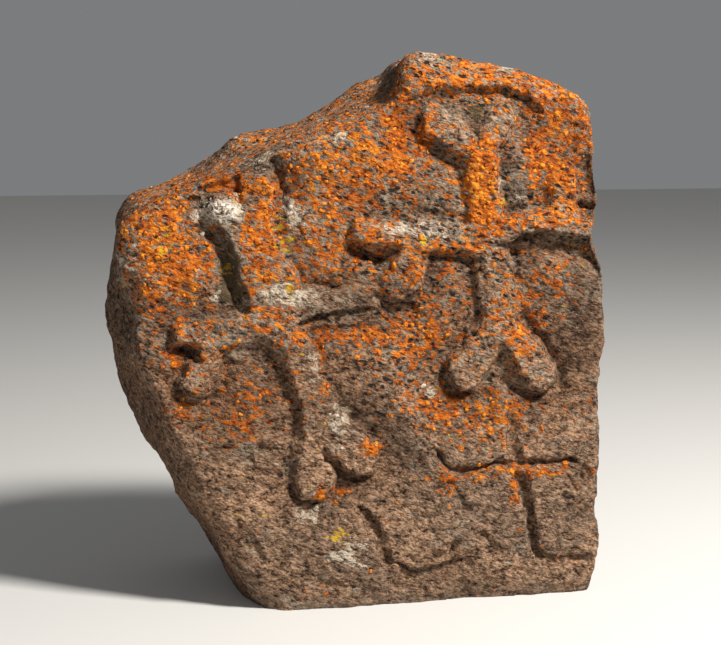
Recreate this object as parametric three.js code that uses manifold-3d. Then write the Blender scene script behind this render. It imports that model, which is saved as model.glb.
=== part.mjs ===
// A rough field stone with crosses in sunk relief on its face, cut off flat where it meets the ground.
// Millimetres, +Z up. The carved face looks along -Y, and the origin is the bottom centre of the box
// round the stone, on the flat underside.
//
// The stone is the space inside a set of fracture planes with worn, rounded edges. A closed cage round
// it is shrunk onto that surface from a point inside, and the carving then sinks the front of it. Edges
// of the cage are halved wherever the surface bends away from them, so the mesh is fine at the carving
// and wide on the plain sides.
import * as THREE from 'three';
import { mergeVertices } from 'three/addons/utils/BufferGeometryUtils.js';
import Module from 'manifold-3d';

// The stone as a whole
const STONE_WIDTH = 917;
const STONE_DEPTH = 390;
const STONE_HEIGHT = 1005;

// How worn its edges are: the width over which two planes blend into each other
const EDGE_WEAR = 34;
const TOP_WEAR = 46;
const STEP_FOOT_WEAR = 24;

// The carving: depth of the ground sunk round a cross, width of its steep inner wall, width of its
// floor, and the width over which the floor climbs back to the face
const SINK_DEPTH = 20;
const WALL_WIDTH = 15;
const FLOOR_WIDTH = 10;
const TALL_CROSS_RUN_OUT = 105;
const LOW_CROSS_RUN_OUT = 75;
const NICHE_WALL = 16;
// Blend where the arms and lobes of a cross join
const JOIN_ROUND = 9;
// Over this depth behind the face the carving dies away round the stone's edges
const CARVING_FADE = 14;

// The mesh: the largest distance allowed between a triangle's side and the true surface, the longest
// side, the coarsest cage and the number of rounds of halving
const SURFACE_TOLERANCE = 2.6;
const LONGEST_SIDE = 110;
const CAGE_STEP = 100;
const HALVING_ROUNDS = 9;

const at = (across, up) => [across * STONE_WIDTH, up * STONE_HEIGHT];
const inside = (across, back, up) => [across * STONE_WIDTH, back * STONE_DEPTH, up * STONE_HEIGHT];

// A point in the thick of the stone, from which every part of its surface can be seen
const HEART = inside(0.131, 0.03, 0.498);
const CAGE_HALF = [0.49 * STONE_WIDTH, 0.46 * STONE_DEPTH, 0.53 * STONE_HEIGHT];

function plane(through, facing) {
  const length = Math.hypot(...facing);
  const normal = facing.map((value) => value / length);
  return { normal, offset: normal[0] * through[0] + normal[1] * through[1] + normal[2] * through[2] };
}

const FACE = plane(inside(0, -0.387, 0.498), [0, -1, 0.0875]);

const SIDES = [
  plane(inside(-0.497, -0.35, 0.634), [-1, 0.15, 0.28]),
  plane(inside(-0.517, 0.088, 0.517), [-0.9, -0.36, -0.2]),
  plane(inside(-0.478, 0.113, 0.391), [-1, 0.2, -0.55]),
  plane(inside(-0.285, -0.47, 0.134), [-1, -0.3, -0.56]),
  plane(inside(-0.47, 0.14, 0.6), [-0.7, 0.7, 0.02]),
  plane(inside(0.5, 0, 0.493), [1, 0.06, -0.052]),
  plane(inside(0.5, 0, 0.493), [1, 0.1, 0.05]),
  plane(inside(0.47, 0, 0.885), [0.973, 0.05, 0.23]),
  plane(inside(0.42, 0.36, 0.45), [0.75, 0.62, -0.05]),
  plane(inside(0, 0.47, 0.25), [0.06, 1, 0.04]),
  plane(inside(0, 0.45, 0.68), [-0.05, 1, 0.24]),
  plane(inside(0.1, -0.5, 0.03), [0.05, -0.85, -0.3]),
];

const TOPS = [
  plane(inside(0.142, -0.2, 1), [0.09, 0.05, 1]),
  plane(inside(0.32, -0.2, 0.982), [0.38, 0.05, 1]),
  plane(inside(0.26, -0.33, 0.968), [0.1, -0.75, 0.7]),
];

const SHOULDERS = [
  plane(inside(-0.315, -0.28, 0.793), [-0.46, 0.04, 1]),
  plane(inside(-0.12, -0.28, 0.836), [-0.41, -0.3, 1]),
];

const STEP = plane(inside(0.084, 0, 0.945), [-1, 0, 0.2]);

const UNDERGROUND = plane(inside(0, 0, -0.045), [0, 0, -1]);

// Chips knocked out of the stone: where, how wide and how deep. A depth below zero is a knob.
const CHIPS = [
  { place: inside(0.5, -0.3, 0.67), radius: 42, depth: 14 },
  { place: inside(0.48, -0.34, 0.2), radius: 60, depth: 10 },
  { place: inside(-0.46, -0.3, 0.55), radius: 50, depth: 9 },
  { place: inside(-0.33, -0.38, 0.33), radius: 70, depth: 10 },
  { place: inside(0.3, 0.42, 0.8), radius: 130, depth: 18 },
  { place: inside(-0.2, 0.44, 0.35), radius: 150, depth: 16 },
  { place: inside(0.3, -0.3, 0.99), radius: 40, depth: 8 },
  { place: inside(-0.222, 0.22, 0.83), radius: 50, depth: -18 },
  { place: inside(-0.45, 0, 0.72), radius: 60, depth: -18 },
  { place: inside(0.045, 0.25, 0.935), radius: 45, depth: -10 },
  { place: inside(0.5, -0.34, 0.43), radius: 55, depth: 8 },
];

// Slow waves that keep the planes from being flat: wave vector in radians per millimetre, phase, height
const WAVES = [
  { vector: [0.021, 0.012, 0.017], phase: 0.4, height: 2.4 },
  { vector: [-0.014, 0.024, 0.026], phase: 2.1, height: 2.2 },
  { vector: [0.037, -0.018, -0.013], phase: 4.4, height: 1.5 },
  { vector: [0.028, 0.035, -0.041], phase: 1.2, height: 1.2 },
];

function distanceTo({ normal, offset }, [x, y, z]) {
  return normal[0] * x + normal[1] * y + normal[2] * z - offset;
}

// The larger of two values, rounded where they are closer than the blend
function roundedMax(a, b, blend) {
  const overlap = Math.max(blend - Math.abs(a - b), 0) / blend;
  return Math.max(a, b) + (overlap * overlap * blend) / 4;
}

function roundedMin(a, b, blend) {
  return -roundedMax(-a, -b, blend);
}

function insideAll(planes, point, blend) {
  return planes.map((side) => distanceTo(side, point)).reduce((a, b) => roundedMax(a, b, blend));
}

// Below zero inside the stone and above zero outside it, before any carving
function stoneField(point) {
  const sides = roundedMax(distanceTo(FACE, point), insideAll(SIDES, point, EDGE_WEAR), EDGE_WEAR);
  const block = roundedMax(sides, insideAll(TOPS, point, TOP_WEAR), TOP_WEAR);
  const shoulder = insideAll(SHOULDERS, point, TOP_WEAR);
  const broken = roundedMin(shoulder, distanceTo(STEP, point), STEP_FOOT_WEAR);
  let field = roundedMax(block, broken, EDGE_WEAR);
  for (const { vector, phase, height } of WAVES) {
    field += height * Math.sin(vector[0] * point[0] + vector[1] * point[1] + vector[2] * point[2] + phase);
  }
  for (const { place, radius, depth } of CHIPS) {
    const away = Math.hypot(point[0] - place[0], point[1] - place[1], point[2] - place[2]) / radius;
    field += depth * Math.exp(-away * away);
  }
  return Math.max(field, distanceTo(UNDERGROUND, point));
}

// The carving, drawn on the face as distances in millimetres from its outlines

function easeBetween(value) {
  const share = Math.min(Math.max(value, 0), 1);
  return share * share * (3 - 2 * share);
}

// Distance from a bar with round ends that widens from one radius to another
function barDistance([x, z], from, to, startRadius, endRadius) {
  const run = to[0] - from[0];
  const rise = to[1] - from[1];
  const along = ((x - from[0]) * run + (z - from[1]) * rise) / (run * run + rise * rise);
  const share = Math.min(Math.max(along, 0), 1);
  const radius = startRadius + (endRadius - startRadius) * share;
  return Math.hypot(x - from[0] - share * run, z - from[1] - share * rise) - radius;
}

// Each arm runs from the centre to a fork and opens there into round lobes
const TALL_CROSS = {
  centre: at(0.258, 0.665),
  runOut: TALL_CROSS_RUN_OUT,
  arms: [
    { fork: at(0.242, 0.811), root: 33, neck: 26, lobes: [[at(0.153, 0.876), 25], [at(0.288, 0.88), 24]] },
    { fork: at(0.414, 0.681), root: 30, neck: 28, lobes: [[at(0.419, 0.764), 30], [at(0.493, 0.647), 24]] },
    { fork: at(0.12, 0.661), root: 30, neck: 26, lobes: [[at(0.007, 0.669), 22], [at(0.087, 0.589), 34]] },
    { fork: at(0.286, 0.517), root: 32, neck: 30, lobes: [[at(0.209, 0.422), 32], [at(0.364, 0.416), 30]] },
  ],
};

const LOW_CROSS = {
  centre: at(-0.188, 0.525),
  runOut: LOW_CROSS_RUN_OUT,
  arms: [
    { fork: at(-0.218, 0.672), root: 42, neck: 38, lobes: [[at(-0.265, 0.72), 26], [at(-0.203, 0.751), 30]] },
    { fork: at(-0.013, 0.545), root: 27, neck: 30, lobes: [] },
    { fork: at(-0.294, 0.496), root: 28, neck: 22, lobes: [[at(-0.356, 0.501), 18], [at(-0.33, 0.414), 24]] },
    { fork: at(-0.111, 0.358), root: 34, neck: 34, lobes: [[at(-0.1, 0.235), 34], [at(-0.011, 0.273), 34]] },
  ],
};

// The arch of the niche over the tall cross is the upper half of a bar with round ends
const NICHE = { from: at(0.164, 0.852), to: at(0.286, 0.852), radius: 84 };

// Grooves scored in the lower right of the face, with half their width and their depth
const GROOVES = [
  { halfWidth: 9, depth: 9, course: [at(0.302, 0.37), at(0.305, 0.313), at(0.313, 0.258)] },
  {
    halfWidth: 6,
    depth: 10,
    course: [at(0.146, 0.281), at(0.18, 0.247), at(0.234, 0.248), at(0.276, 0.254), at(0.411, 0.253), at(0.473, 0.265)],
  },
  {
    halfWidth: 11,
    depth: 11,
    course: [at(0.316, 0.224), at(0.33, 0.174), at(0.345, 0.092), at(0.368, 0.068), at(0.404, 0.054), at(0.473, 0.058)],
  },
  { halfWidth: 7, depth: 6, course: [at(0.405, 0.24), at(0.436, 0.201)] },
  { halfWidth: 6, depth: 5, course: [at(0.178, 0.226), at(0.176, 0.167)] },
  { halfWidth: 10, depth: 10, course: [at(-0.032, 0.215), at(0.008, 0.159), at(0.035, 0.091)] },
];
const GROOVE_WALL = 10;

// A deeper run of the sunk ground along the left of the low cross's upper arm
const CHANNEL = { course: [at(-0.325, 0.734), at(-0.276, 0.655), at(-0.247, 0.56)], halfWidth: 14, depth: 27 };

function crossDistance({ centre, arms }, point) {
  let nearest = Infinity;
  for (const { fork, root, neck, lobes } of arms) {
    let arm = barDistance(point, centre, fork, root, neck);
    for (const [tip, radius] of lobes) {
      arm = roundedMin(arm, barDistance(point, fork, tip, 0.8 * neck, radius), JOIN_ROUND);
    }
    nearest = nearest === Infinity ? arm : roundedMin(nearest, arm, JOIN_ROUND);
  }
  return nearest;
}

function courseDistance(course, halfWidth, point) {
  let nearest = Infinity;
  for (let i = 1; i < course.length; i += 1) {
    nearest = Math.min(nearest, barDistance(point, course[i - 1], course[i], halfWidth, halfWidth));
  }
  return nearest;
}

// Steep at the arm, level over the floor, then a long climb back to the face
function groundRoundCross(distance, runOut) {
  const wall = easeBetween(distance / WALL_WIDTH);
  const climb = Math.min(Math.max((distance - FLOOR_WIDTH) / runOut, 0), 1);
  return SINK_DEPTH * wall * (1 - climb);
}

function grooveDepth(distance, depth, wall) {
  return depth * easeBetween(0.5 - distance / wall);
}

// How far the face is cut back at a place on it
function carvedDepth(point) {
  const tall = crossDistance(TALL_CROSS, point);
  const low = crossDistance(LOW_CROSS, point);
  const niche = barDistance(point, NICHE.from, NICHE.to, NICHE.radius, NICHE.radius);
  const channel = courseDistance(CHANNEL.course, CHANNEL.halfWidth, point);
  const sheltered = easeBetween(0.5 - niche / NICHE_WALL);
  const aboveSpringing = easeBetween((point[1] - NICHE.from[1]) / NICHE.radius);
  const openGround = groundRoundCross(tall, TALL_CROSS.runOut) * (1 - aboveSpringing);
  const nicheGround = SINK_DEPTH * aboveSpringing * sheltered * easeBetween(tall / WALL_WIDTH);
  let depth = Math.max(
    openGround + nicheGround,
    groundRoundCross(low, LOW_CROSS.runOut),
    grooveDepth(channel, CHANNEL.depth, WALL_WIDTH) * easeBetween(low / WALL_WIDTH),
  );
  for (const { course, halfWidth, depth: cut } of GROOVES) {
    depth = Math.max(depth, grooveDepth(courseDistance(course, halfWidth, point), cut, GROOVE_WALL));
  }
  return depth;
}

// Where the line from the heart through a point of the cage leaves the stone, then cut back by the carving
function onSurface(cagePoint) {
  const line = cagePoint.map((value, axis) => value - HEART[axis]);
  const pointAt = (share) => line.map((value, axis) => HEART[axis] + value * share);
  let near = 0.2;
  let far = 2;
  for (let round = 0; round < 30; round += 1) {
    const middle = (near + far) / 2;
    if (stoneField(pointAt(middle)) < 0) near = middle;
    else far = middle;
  }
  const [x, y, z] = pointAt((near + far) / 2);
  const onFace = easeBetween(1 + distanceTo(FACE, [x, y, z]) / CARVING_FADE + 0.4);
  return [x, y + carvedDepth([x, z]) * onFace, z];
}

// A box of triangles round the stone. Points that fall on the same place are one point
function makeCage() {
  const points = [];
  const numbers = new Map();
  const triangles = [];
  const pointNumber = (place) => {
    const key = place.map((value) => Math.round(value * 100)).join();
    if (!numbers.has(key)) {
      numbers.set(key, points.length);
      points.push(place);
    }
    return numbers.get(key);
  };
  for (let axis = 0; axis < 3; axis += 1) {
    const first = (axis + 1) % 3;
    const second = (axis + 2) % 3;
    const columns = Math.ceil((2 * CAGE_HALF[first]) / CAGE_STEP);
    const rows = Math.ceil((2 * CAGE_HALF[second]) / CAGE_STEP);
    for (const end of [-1, 1]) {
      const corner = (column, row) => {
        const place = [0, 0, 0];
        place[axis] = end * CAGE_HALF[axis];
        place[first] = ((2 * column) / columns - 1) * CAGE_HALF[first];
        place[second] = ((2 * row) / rows - 1) * CAGE_HALF[second];
        place[2] += CAGE_HALF[2] - 0.05 * STONE_HEIGHT;
        return pointNumber(place);
      };
      for (let column = 0; column < columns; column += 1) {
        for (let row = 0; row < rows; row += 1) {
          const a = corner(column, row);
          const b = corner(column + 1, row);
          const c = corner(column + 1, row + 1);
          const d = corner(column, row + 1);
          const halves = (column + row) % 2 ? [[a, b, c], [a, c, d]] : [[a, b, d], [b, c, d]];
          for (const [p, q, r] of halves) triangles.push(end > 0 ? [p, q, r] : [p, r, q]);
        }
      }
    }
  }
  return { points, triangles };
}

function between(a, b, share) {
  return a.map((value, axis) => value + (b[axis] - value) * share);
}

// Distance from a point to the straight line between two others
function gapToLine(point, a, b) {
  const line = between(b, a, 0).map((value, axis) => value - a[axis]);
  const reach = point.map((value, axis) => value - a[axis]);
  const square = line[0] ** 2 + line[1] ** 2 + line[2] ** 2;
  const share = (line[0] * reach[0] + line[1] * reach[1] + line[2] * reach[2]) / square;
  return Math.hypot(...reach.map((value, axis) => value - share * line[axis]));
}

// Halves the sides that miss the surface, longest side first, so that no triangle becomes a sliver
function refine(cage) {
  const cagePoints = cage.points;
  const surface = cagePoints.map(onSurface);
  const misses = new Map();
  const key = (a, b) => (a < b ? `${a},${b}` : `${b},${a}`);
  const length = (a, b) => Math.hypot(...surface[a].map((value, axis) => value - surface[b][axis]));
  const misfits = (a, b) => {
    const name = key(a, b);
    if (!misses.has(name)) {
      const bends = [0.25, 0.5, 0.75].some((share) => {
        const there = onSurface(between(cagePoints[a], cagePoints[b], share));
        return gapToLine(there, surface[a], surface[b]) > SURFACE_TOLERANCE;
      });
      misses.set(name, bends || length(a, b) > LONGEST_SIDE);
    }
    return misses.get(name);
  };

  let triangles = cage.triangles;
  for (let round = 0; round < HALVING_ROUNDS; round += 1) {
    // Turn each triangle so that its longest side comes first
    triangles = triangles.map(([a, b, c]) => {
      const sides = [length(a, b), length(b, c), length(c, a)];
      const longest = sides.indexOf(Math.max(...sides));
      return [[a, b, c], [b, c, a], [c, a, b]][longest];
    });
    const halved = new Map();
    for (const [a, b, c] of triangles) {
      for (const [p, q] of [[a, b], [b, c], [c, a]]) if (misfits(p, q)) halved.set(key(p, q), -1);
    }
    if (halved.size === 0) break;
    let spreading = true;
    while (spreading) {
      spreading = false;
      for (const [a, b, c] of triangles) {
        if (!halved.has(key(a, b)) && (halved.has(key(b, c)) || halved.has(key(c, a)))) {
          halved.set(key(a, b), -1);
          spreading = true;
        }
      }
    }
    const middle = (a, b) => {
      const name = key(a, b);
      if (halved.get(name) === -1) {
        halved.set(name, cagePoints.length);
        cagePoints.push(between(cagePoints[a], cagePoints[b], 0.5));
        surface.push(onSurface(cagePoints[cagePoints.length - 1]));
      }
      return halved.get(name);
    };
    const next = [];
    for (const [a, b, c] of triangles) {
      if (!halved.has(key(a, b))) {
        next.push([a, b, c]);
        continue;
      }
      const m = middle(a, b);
      if (halved.has(key(b, c))) next.push([m, b, middle(b, c)], [m, middle(b, c), c]);
      else next.push([m, b, c]);
      if (halved.has(key(c, a))) next.push([c, middle(c, a), m], [middle(c, a), a, m]);
      else next.push([c, a, m]);
    }
    triangles = next;
  }
  return { points: surface, triangles };
}

const wasm = await Module();
wasm.setup();

function solidFrom(geometry) {
  const bare = geometry.clone();
  bare.deleteAttribute('normal');
  bare.deleteAttribute('uv');
  const merged = mergeVertices(bare);
  return new wasm.Manifold(
    new wasm.Mesh({
      numProp: 3,
      vertProperties: new Float32Array(merged.attributes.position.array),
      triVerts: new Uint32Array(merged.index.array),
    }),
  );
}

function geometryFrom(solid) {
  const mesh = solid.getMesh();
  const geometry = new THREE.BufferGeometry();
  geometry.setAttribute('position', new THREE.BufferAttribute(new Float32Array(mesh.vertProperties), 3));
  geometry.setIndex(new THREE.BufferAttribute(new Uint32Array(mesh.triVerts), 1));
  return geometry;
}

// The stone runs on below the ground, so that the cut through it leaves a truly flat underside
const NEAR_GROUND = 1.5;

function makeStone() {
  const { points, triangles } = refine(makeCage());
  const settled = points.map(([x, y, z]) => [x, y, Math.abs(z) < NEAR_GROUND ? 0 : z]);
  const geometry = new THREE.BufferGeometry();
  geometry.setAttribute('position', new THREE.BufferAttribute(new Float32Array(settled.flat()), 3));
  geometry.setIndex(triangles.flat());

  const ground = new THREE.BoxGeometry(2 * STONE_WIDTH, 3 * STONE_DEPTH, STONE_HEIGHT);
  ground.translate(0, 0, -STONE_HEIGHT / 2);
  const stone = geometryFrom(solidFrom(geometry).subtract(solidFrom(ground)));
  stone.computeBoundingBox();
  const centre = stone.boundingBox.getCenter(new THREE.Vector3());
  return stone.translate(-centre.x, -centre.y, 0);
}

const stoneMaterial = new THREE.MeshStandardMaterial({ color: 0x6b5a50, roughness: 0.95, metalness: 0 });

const khachkar = new THREE.Group();
const stone = new THREE.Mesh(makeStone(), stoneMaterial);
stone.name = 'carved_stone';
khachkar.add(stone);

export default khachkar;
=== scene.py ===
"""A khachkar: a rough field stone with crosses in sunk relief, weathered, pitted and grown over with lichen.

Metres, +Z up. The carved face looks along -Y, and the stone stands on its flat underside. Places on the
stone are shares of its width, depth and height, as in the solid that this piece stands for.
"""

import logging
import math
from dataclasses import dataclass, field
from enum import Enum

import bmesh
import bpy
import numpy as np
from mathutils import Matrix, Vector, noise

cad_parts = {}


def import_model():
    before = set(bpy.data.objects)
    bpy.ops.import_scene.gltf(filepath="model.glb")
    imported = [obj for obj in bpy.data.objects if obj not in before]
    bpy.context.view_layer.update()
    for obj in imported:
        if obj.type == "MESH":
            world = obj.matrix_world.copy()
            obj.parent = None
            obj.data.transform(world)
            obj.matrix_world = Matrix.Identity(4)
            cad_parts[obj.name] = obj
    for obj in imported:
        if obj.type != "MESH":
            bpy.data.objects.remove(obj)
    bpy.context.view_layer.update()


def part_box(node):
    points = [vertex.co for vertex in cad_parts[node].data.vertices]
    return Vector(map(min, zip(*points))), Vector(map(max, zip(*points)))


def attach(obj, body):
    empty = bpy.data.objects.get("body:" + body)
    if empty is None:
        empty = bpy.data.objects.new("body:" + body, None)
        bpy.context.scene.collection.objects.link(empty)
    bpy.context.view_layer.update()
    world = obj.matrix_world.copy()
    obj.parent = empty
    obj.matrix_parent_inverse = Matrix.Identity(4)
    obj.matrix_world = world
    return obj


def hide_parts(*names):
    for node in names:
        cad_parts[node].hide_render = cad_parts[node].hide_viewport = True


LOG = logging.getLogger("khachkar")

# The stone as a whole, in metres
STONE_WIDTH = 0.917
STONE_DEPTH = 0.390
STONE_HEIGHT = 1.005

MILLIMETRE = 0.001
CAD_NODE = "carved_stone"
BODY = "root"


class Cover(Enum):
    """What lies on the stone, and the painted shade on it, by the name of the attribute that says how thickly each
    covers a place.
    """

    ORANGE = "orange_cover"
    PALE = "pale_cover"
    YELLOW = "yellow_cover"
    MOSS = "moss_cover"
    GREY = "grey_cover"
    SOIL = "soil_cover"
    HOLES = "open_holes"
    # Painted shade: darkening in the carving's recesses, on the stone's left side and in patches of painted shade under
    # the arms.
    PAINTED_SHADE = "painted_shade"


def at(across: float, up: float) -> tuple[float, float]:
    """A place on the face in metres, from shares of the stone's width and height."""
    return (across * STONE_WIDTH, up * STONE_HEIGHT)


def inside(across: float, back: float, up: float) -> np.ndarray:
    """A place in the stone in metres, from shares of its width, depth and height."""
    return np.array([across * STONE_WIDTH, back * STONE_DEPTH, up * STONE_HEIGHT])


def eased(value: np.ndarray) -> np.ndarray:
    """Zero below 0, one above 1, and a smooth rise between."""
    share = np.clip(value, 0.0, 1.0)
    return share * share * (3.0 - 2.0 * share)


def rounded_max(a: np.ndarray, b: np.ndarray, blend: float) -> np.ndarray:
    """The larger of two values, rounded where they are closer than the blend.

    Args:
        a: The first value at each point.
        b: The second value at each point.
        blend: The difference in metres within which the two run into each other.

    Returns:
        The rounded larger value at each point.
    """
    overlap = np.maximum(blend - np.abs(a - b), 0.0) / blend
    return np.maximum(a, b) + overlap * overlap * blend / 4.0


def rounded_min(a: np.ndarray, b: np.ndarray, blend: float) -> np.ndarray:
    """The smaller of two values, rounded where they are closer than the blend."""
    return -rounded_max(-a, -b, blend)


def bar_distance(x: np.ndarray, z: np.ndarray, start: tuple[float, float], end: tuple[float, float],
                 start_radius: float, end_radius: float) -> np.ndarray:
    """Distance on the face from a bar with round ends.

    Args:
        x: Across the face, in metres.
        z: Up the face, in metres.
        start: Where the bar starts.
        end: Where it ends.
        start_radius: Half its width at the start.
        end_radius: Half its width at the end.

    Returns:
        The distance from the bar's outline, below zero inside it.
    """
    run, rise = end[0] - start[0], end[1] - start[1]
    share = np.clip(((x - start[0]) * run + (z - start[1]) * rise) / (run * run + rise * rise), 0.0, 1.0)
    away = np.hypot(x - start[0] - share * run, z - start[1] - share * rise)
    return away - start_radius - (end_radius - start_radius) * share


@dataclass(frozen=True)
class Fracture:
    """A plane that the stone broke along, through a point and facing outwards."""

    through: np.ndarray
    facing: tuple[float, float, float]

    def distance(self, points: np.ndarray) -> np.ndarray:
        """How far each point lies outside the plane."""
        normal = np.array(self.facing) / np.linalg.norm(self.facing)
        return (points - self.through) @ normal


@dataclass(frozen=True)
class Chip:
    """A hollow knocked out of the stone, or a knob where its depth is below zero."""

    place: np.ndarray
    radius: float
    depth: float


@dataclass(frozen=True)
class Wave:
    """A slow wave in the surface: wave vector in radians per metre, phase and height in metres."""

    vector: tuple[float, float, float]
    phase: float
    height: float


@dataclass(frozen=True)
class StoneForm:
    """The field stone before carving: the space inside its fracture planes, with worn edges."""

    edge_wear: float = 0.034
    top_wear: float = 0.046
    step_foot_wear: float = 0.024
    face: Fracture = Fracture(inside(0, -0.387, 0.498), (0, -1, 0.0875))
    sides: tuple[Fracture, ...] = (
        Fracture(inside(-0.497, -0.35, 0.634), (-1, 0.15, 0.28)),
        Fracture(inside(-0.517, 0.088, 0.517), (-0.9, -0.36, -0.2)),
        Fracture(inside(-0.478, 0.113, 0.391), (-1, 0.2, -0.55)),
        Fracture(inside(-0.285, -0.47, 0.134), (-1, -0.3, -0.56)),
        Fracture(inside(-0.47, 0.14, 0.6), (-0.7, 0.7, 0.02)),
        Fracture(inside(0.5, 0, 0.493), (1, 0.06, -0.052)),
        Fracture(inside(0.5, 0, 0.493), (1, 0.1, 0.05)),
        Fracture(inside(0.47, 0, 0.885), (0.973, 0.05, 0.23)),
        Fracture(inside(0.42, 0.36, 0.45), (0.75, 0.62, -0.05)),
        Fracture(inside(0, 0.47, 0.25), (0.06, 1, 0.04)),
        Fracture(inside(0, 0.45, 0.68), (-0.05, 1, 0.24)),
        Fracture(inside(0.1, -0.5, 0.03), (0.05, -0.85, -0.3)),
    )
    tops: tuple[Fracture, ...] = (
        Fracture(inside(0.142, -0.2, 1), (0.09, 0.05, 1)),
        Fracture(inside(0.32, -0.2, 0.982), (0.38, 0.05, 1)),
        Fracture(inside(0.26, -0.33, 0.968), (0.1, -0.75, 0.7)),
    )
    shoulders: tuple[Fracture, ...] = (
        Fracture(inside(-0.315, -0.28, 0.793), (-0.46, 0.04, 1)),
        Fracture(inside(-0.12, -0.28, 0.836), (-0.41, -0.3, 1)),
    )
    step: Fracture = Fracture(inside(0.084, 0, 0.945), (-1, 0, 0.2))
    underground: Fracture = Fracture(inside(0, 0, -0.045), (0, 0, -1))
    chips: tuple[Chip, ...] = (
        Chip(inside(0.5, -0.3, 0.67), 0.042, 0.014),
        Chip(inside(0.48, -0.34, 0.2), 0.060, 0.010),
        Chip(inside(-0.46, -0.3, 0.55), 0.050, 0.009),
        Chip(inside(-0.33, -0.38, 0.33), 0.070, 0.010),
        Chip(inside(0.3, 0.42, 0.8), 0.130, 0.018),
        Chip(inside(-0.2, 0.44, 0.35), 0.150, 0.016),
        Chip(inside(0.3, -0.3, 0.99), 0.040, 0.008),
        Chip(inside(-0.222, 0.22, 0.83), 0.050, -0.018),
        Chip(inside(-0.45, 0.0, 0.72), 0.060, -0.018),
        Chip(inside(0.045, 0.25, 0.935), 0.045, -0.010),
        Chip(inside(0.5, -0.34, 0.43), 0.055, 0.008),
    )
    waves: tuple[Wave, ...] = (
        Wave((21, 12, 17), 0.4, 0.0024),
        Wave((-14, 24, 26), 2.1, 0.0022),
        Wave((37, -18, -13), 4.4, 0.0015),
        Wave((28, 35, -41), 1.2, 0.0012),
    )

    def within(self, planes: tuple[Fracture, ...], points: np.ndarray, blend: float) -> np.ndarray:
        """How far each point lies outside the space that all the planes enclose.

        Args:
            planes: The planes, facing outwards.
            points: The points, one to a row.
            blend: How widely the planes run into each other.

        Returns:
            The distance at each point, below zero inside.
        """
        field_so_far = planes[0].distance(points)
        for plane in planes[1:]:
            field_so_far = rounded_max(field_so_far, plane.distance(points), blend)
        return field_so_far

    def outside(self, points: np.ndarray) -> np.ndarray:
        """How far each point lies outside the uncarved stone, below zero inside it."""
        sides = rounded_max(self.face.distance(points), self.within(self.sides, points, self.edge_wear), self.edge_wear)
        block = rounded_max(sides, self.within(self.tops, points, self.top_wear), self.top_wear)
        shoulder = self.within(self.shoulders, points, self.top_wear)
        broken = rounded_min(shoulder, self.step.distance(points), self.step_foot_wear)
        value = rounded_max(block, broken, self.edge_wear)
        for wave in self.waves:
            value = value + wave.height * np.sin(points @ np.array(wave.vector) + wave.phase)
        for chip in self.chips:
            away = np.linalg.norm(points - chip.place, axis=1) / chip.radius
            value = value + chip.depth * np.exp(-away * away)
        return np.maximum(value, self.underground.distance(points))


@dataclass(frozen=True)
class Arm:
    """An arm of a cross, from its centre to a fork, with round lobes beyond the fork."""

    fork: tuple[float, float]
    root: float
    neck: float
    lobes: tuple[tuple[tuple[float, float], float], ...] = ()


@dataclass(frozen=True)
class Cross:
    """A cross left standing in sunk ground. run_out is how far the ground takes to climb back to the face."""

    centre: tuple[float, float]
    run_out: float
    arms: tuple[Arm, ...]
    join: float = 0.009
    neck_share: float = 0.8

    def distance(self, x: np.ndarray, z: np.ndarray) -> np.ndarray:
        """Distance on the face from the outline of the cross, below zero on it."""
        nearest = None
        for arm in self.arms:
            reach = bar_distance(x, z, self.centre, arm.fork, arm.root, arm.neck)
            for tip, radius in arm.lobes:
                lobe = bar_distance(x, z, arm.fork, tip, self.neck_share * arm.neck, radius)
                reach = rounded_min(reach, lobe, self.join)
            nearest = reach if nearest is None else rounded_min(nearest, reach, self.join)
        return nearest


@dataclass(frozen=True)
class Groove:
    """A groove along a course of points, with walls of a given width."""

    course: tuple[tuple[float, float], ...]
    half_width: float
    depth: float
    wall: float = 0.010

    def cut(self, x: np.ndarray, z: np.ndarray) -> np.ndarray:
        """How deep the groove is at each place on the face."""
        nearest = np.full(len(x), np.inf)
        for start, end in zip(self.course, self.course[1:]):
            nearest = np.minimum(nearest, bar_distance(x, z, start, end, self.half_width, self.half_width))
        return self.depth * eased(0.5 - nearest / self.wall)


@dataclass(frozen=True)
class Ledge:
    """A broken edge: the face drops on the right-hand side of its course, and climbs back over its reach."""

    course: tuple[tuple[float, float], ...]
    drop: float
    reach: float
    lip: float = 0.006

    def cut(self, x: np.ndarray, z: np.ndarray) -> np.ndarray:
        """How far the face is broken away at each place, dying out at both ends of the course."""
        lengths = [math.dist(start, end) for start, end in zip(self.course, self.course[1:])]
        nearest = np.full(len(x), np.inf)
        beyond = np.zeros(len(x))
        along = np.zeros(len(x))
        walked = 0.0
        for start, end, length in zip(self.course, self.course[1:], lengths):
            run, rise = (end[0] - start[0]) / length, (end[1] - start[1]) / length
            forward = np.clip((x - start[0]) * run + (z - start[1]) * rise, 0.0, length)
            away = np.hypot(x - start[0] - forward * run, z - start[1] - forward * rise)
            right = (x - start[0]) * rise - (z - start[1]) * run
            closer = away < nearest
            beyond = np.where(closer, np.sign(right) * away, beyond)
            along = np.where(closer, walked + forward, along)
            nearest = np.minimum(nearest, away)
            walked += length
        ends = eased(np.minimum(along, walked - along) / (0.25 * walked))
        return self.drop * ends * eased(beyond / self.lip + 0.5) * np.clip(1.0 - beyond / self.reach, 0.0, 1.0)


@dataclass(frozen=True)
class Patch:
    """A soft-edged patch on the face: its middle, its half-widths in metres and how much it adds."""

    at: tuple[float, float]
    spread: tuple[float, float]
    cover: float


def painted(patches: tuple[Patch, ...], x: np.ndarray, z: np.ndarray) -> np.ndarray:
    """The sum of the patches at each place on the face."""
    total = np.zeros(len(x))
    for patch in patches:
        away = ((x - patch.at[0]) / patch.spread[0]) ** 2 + ((z - patch.at[1]) / patch.spread[1]) ** 2
        total += patch.cover * np.exp(-0.8 * away ** 1.5)
    return total


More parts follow.
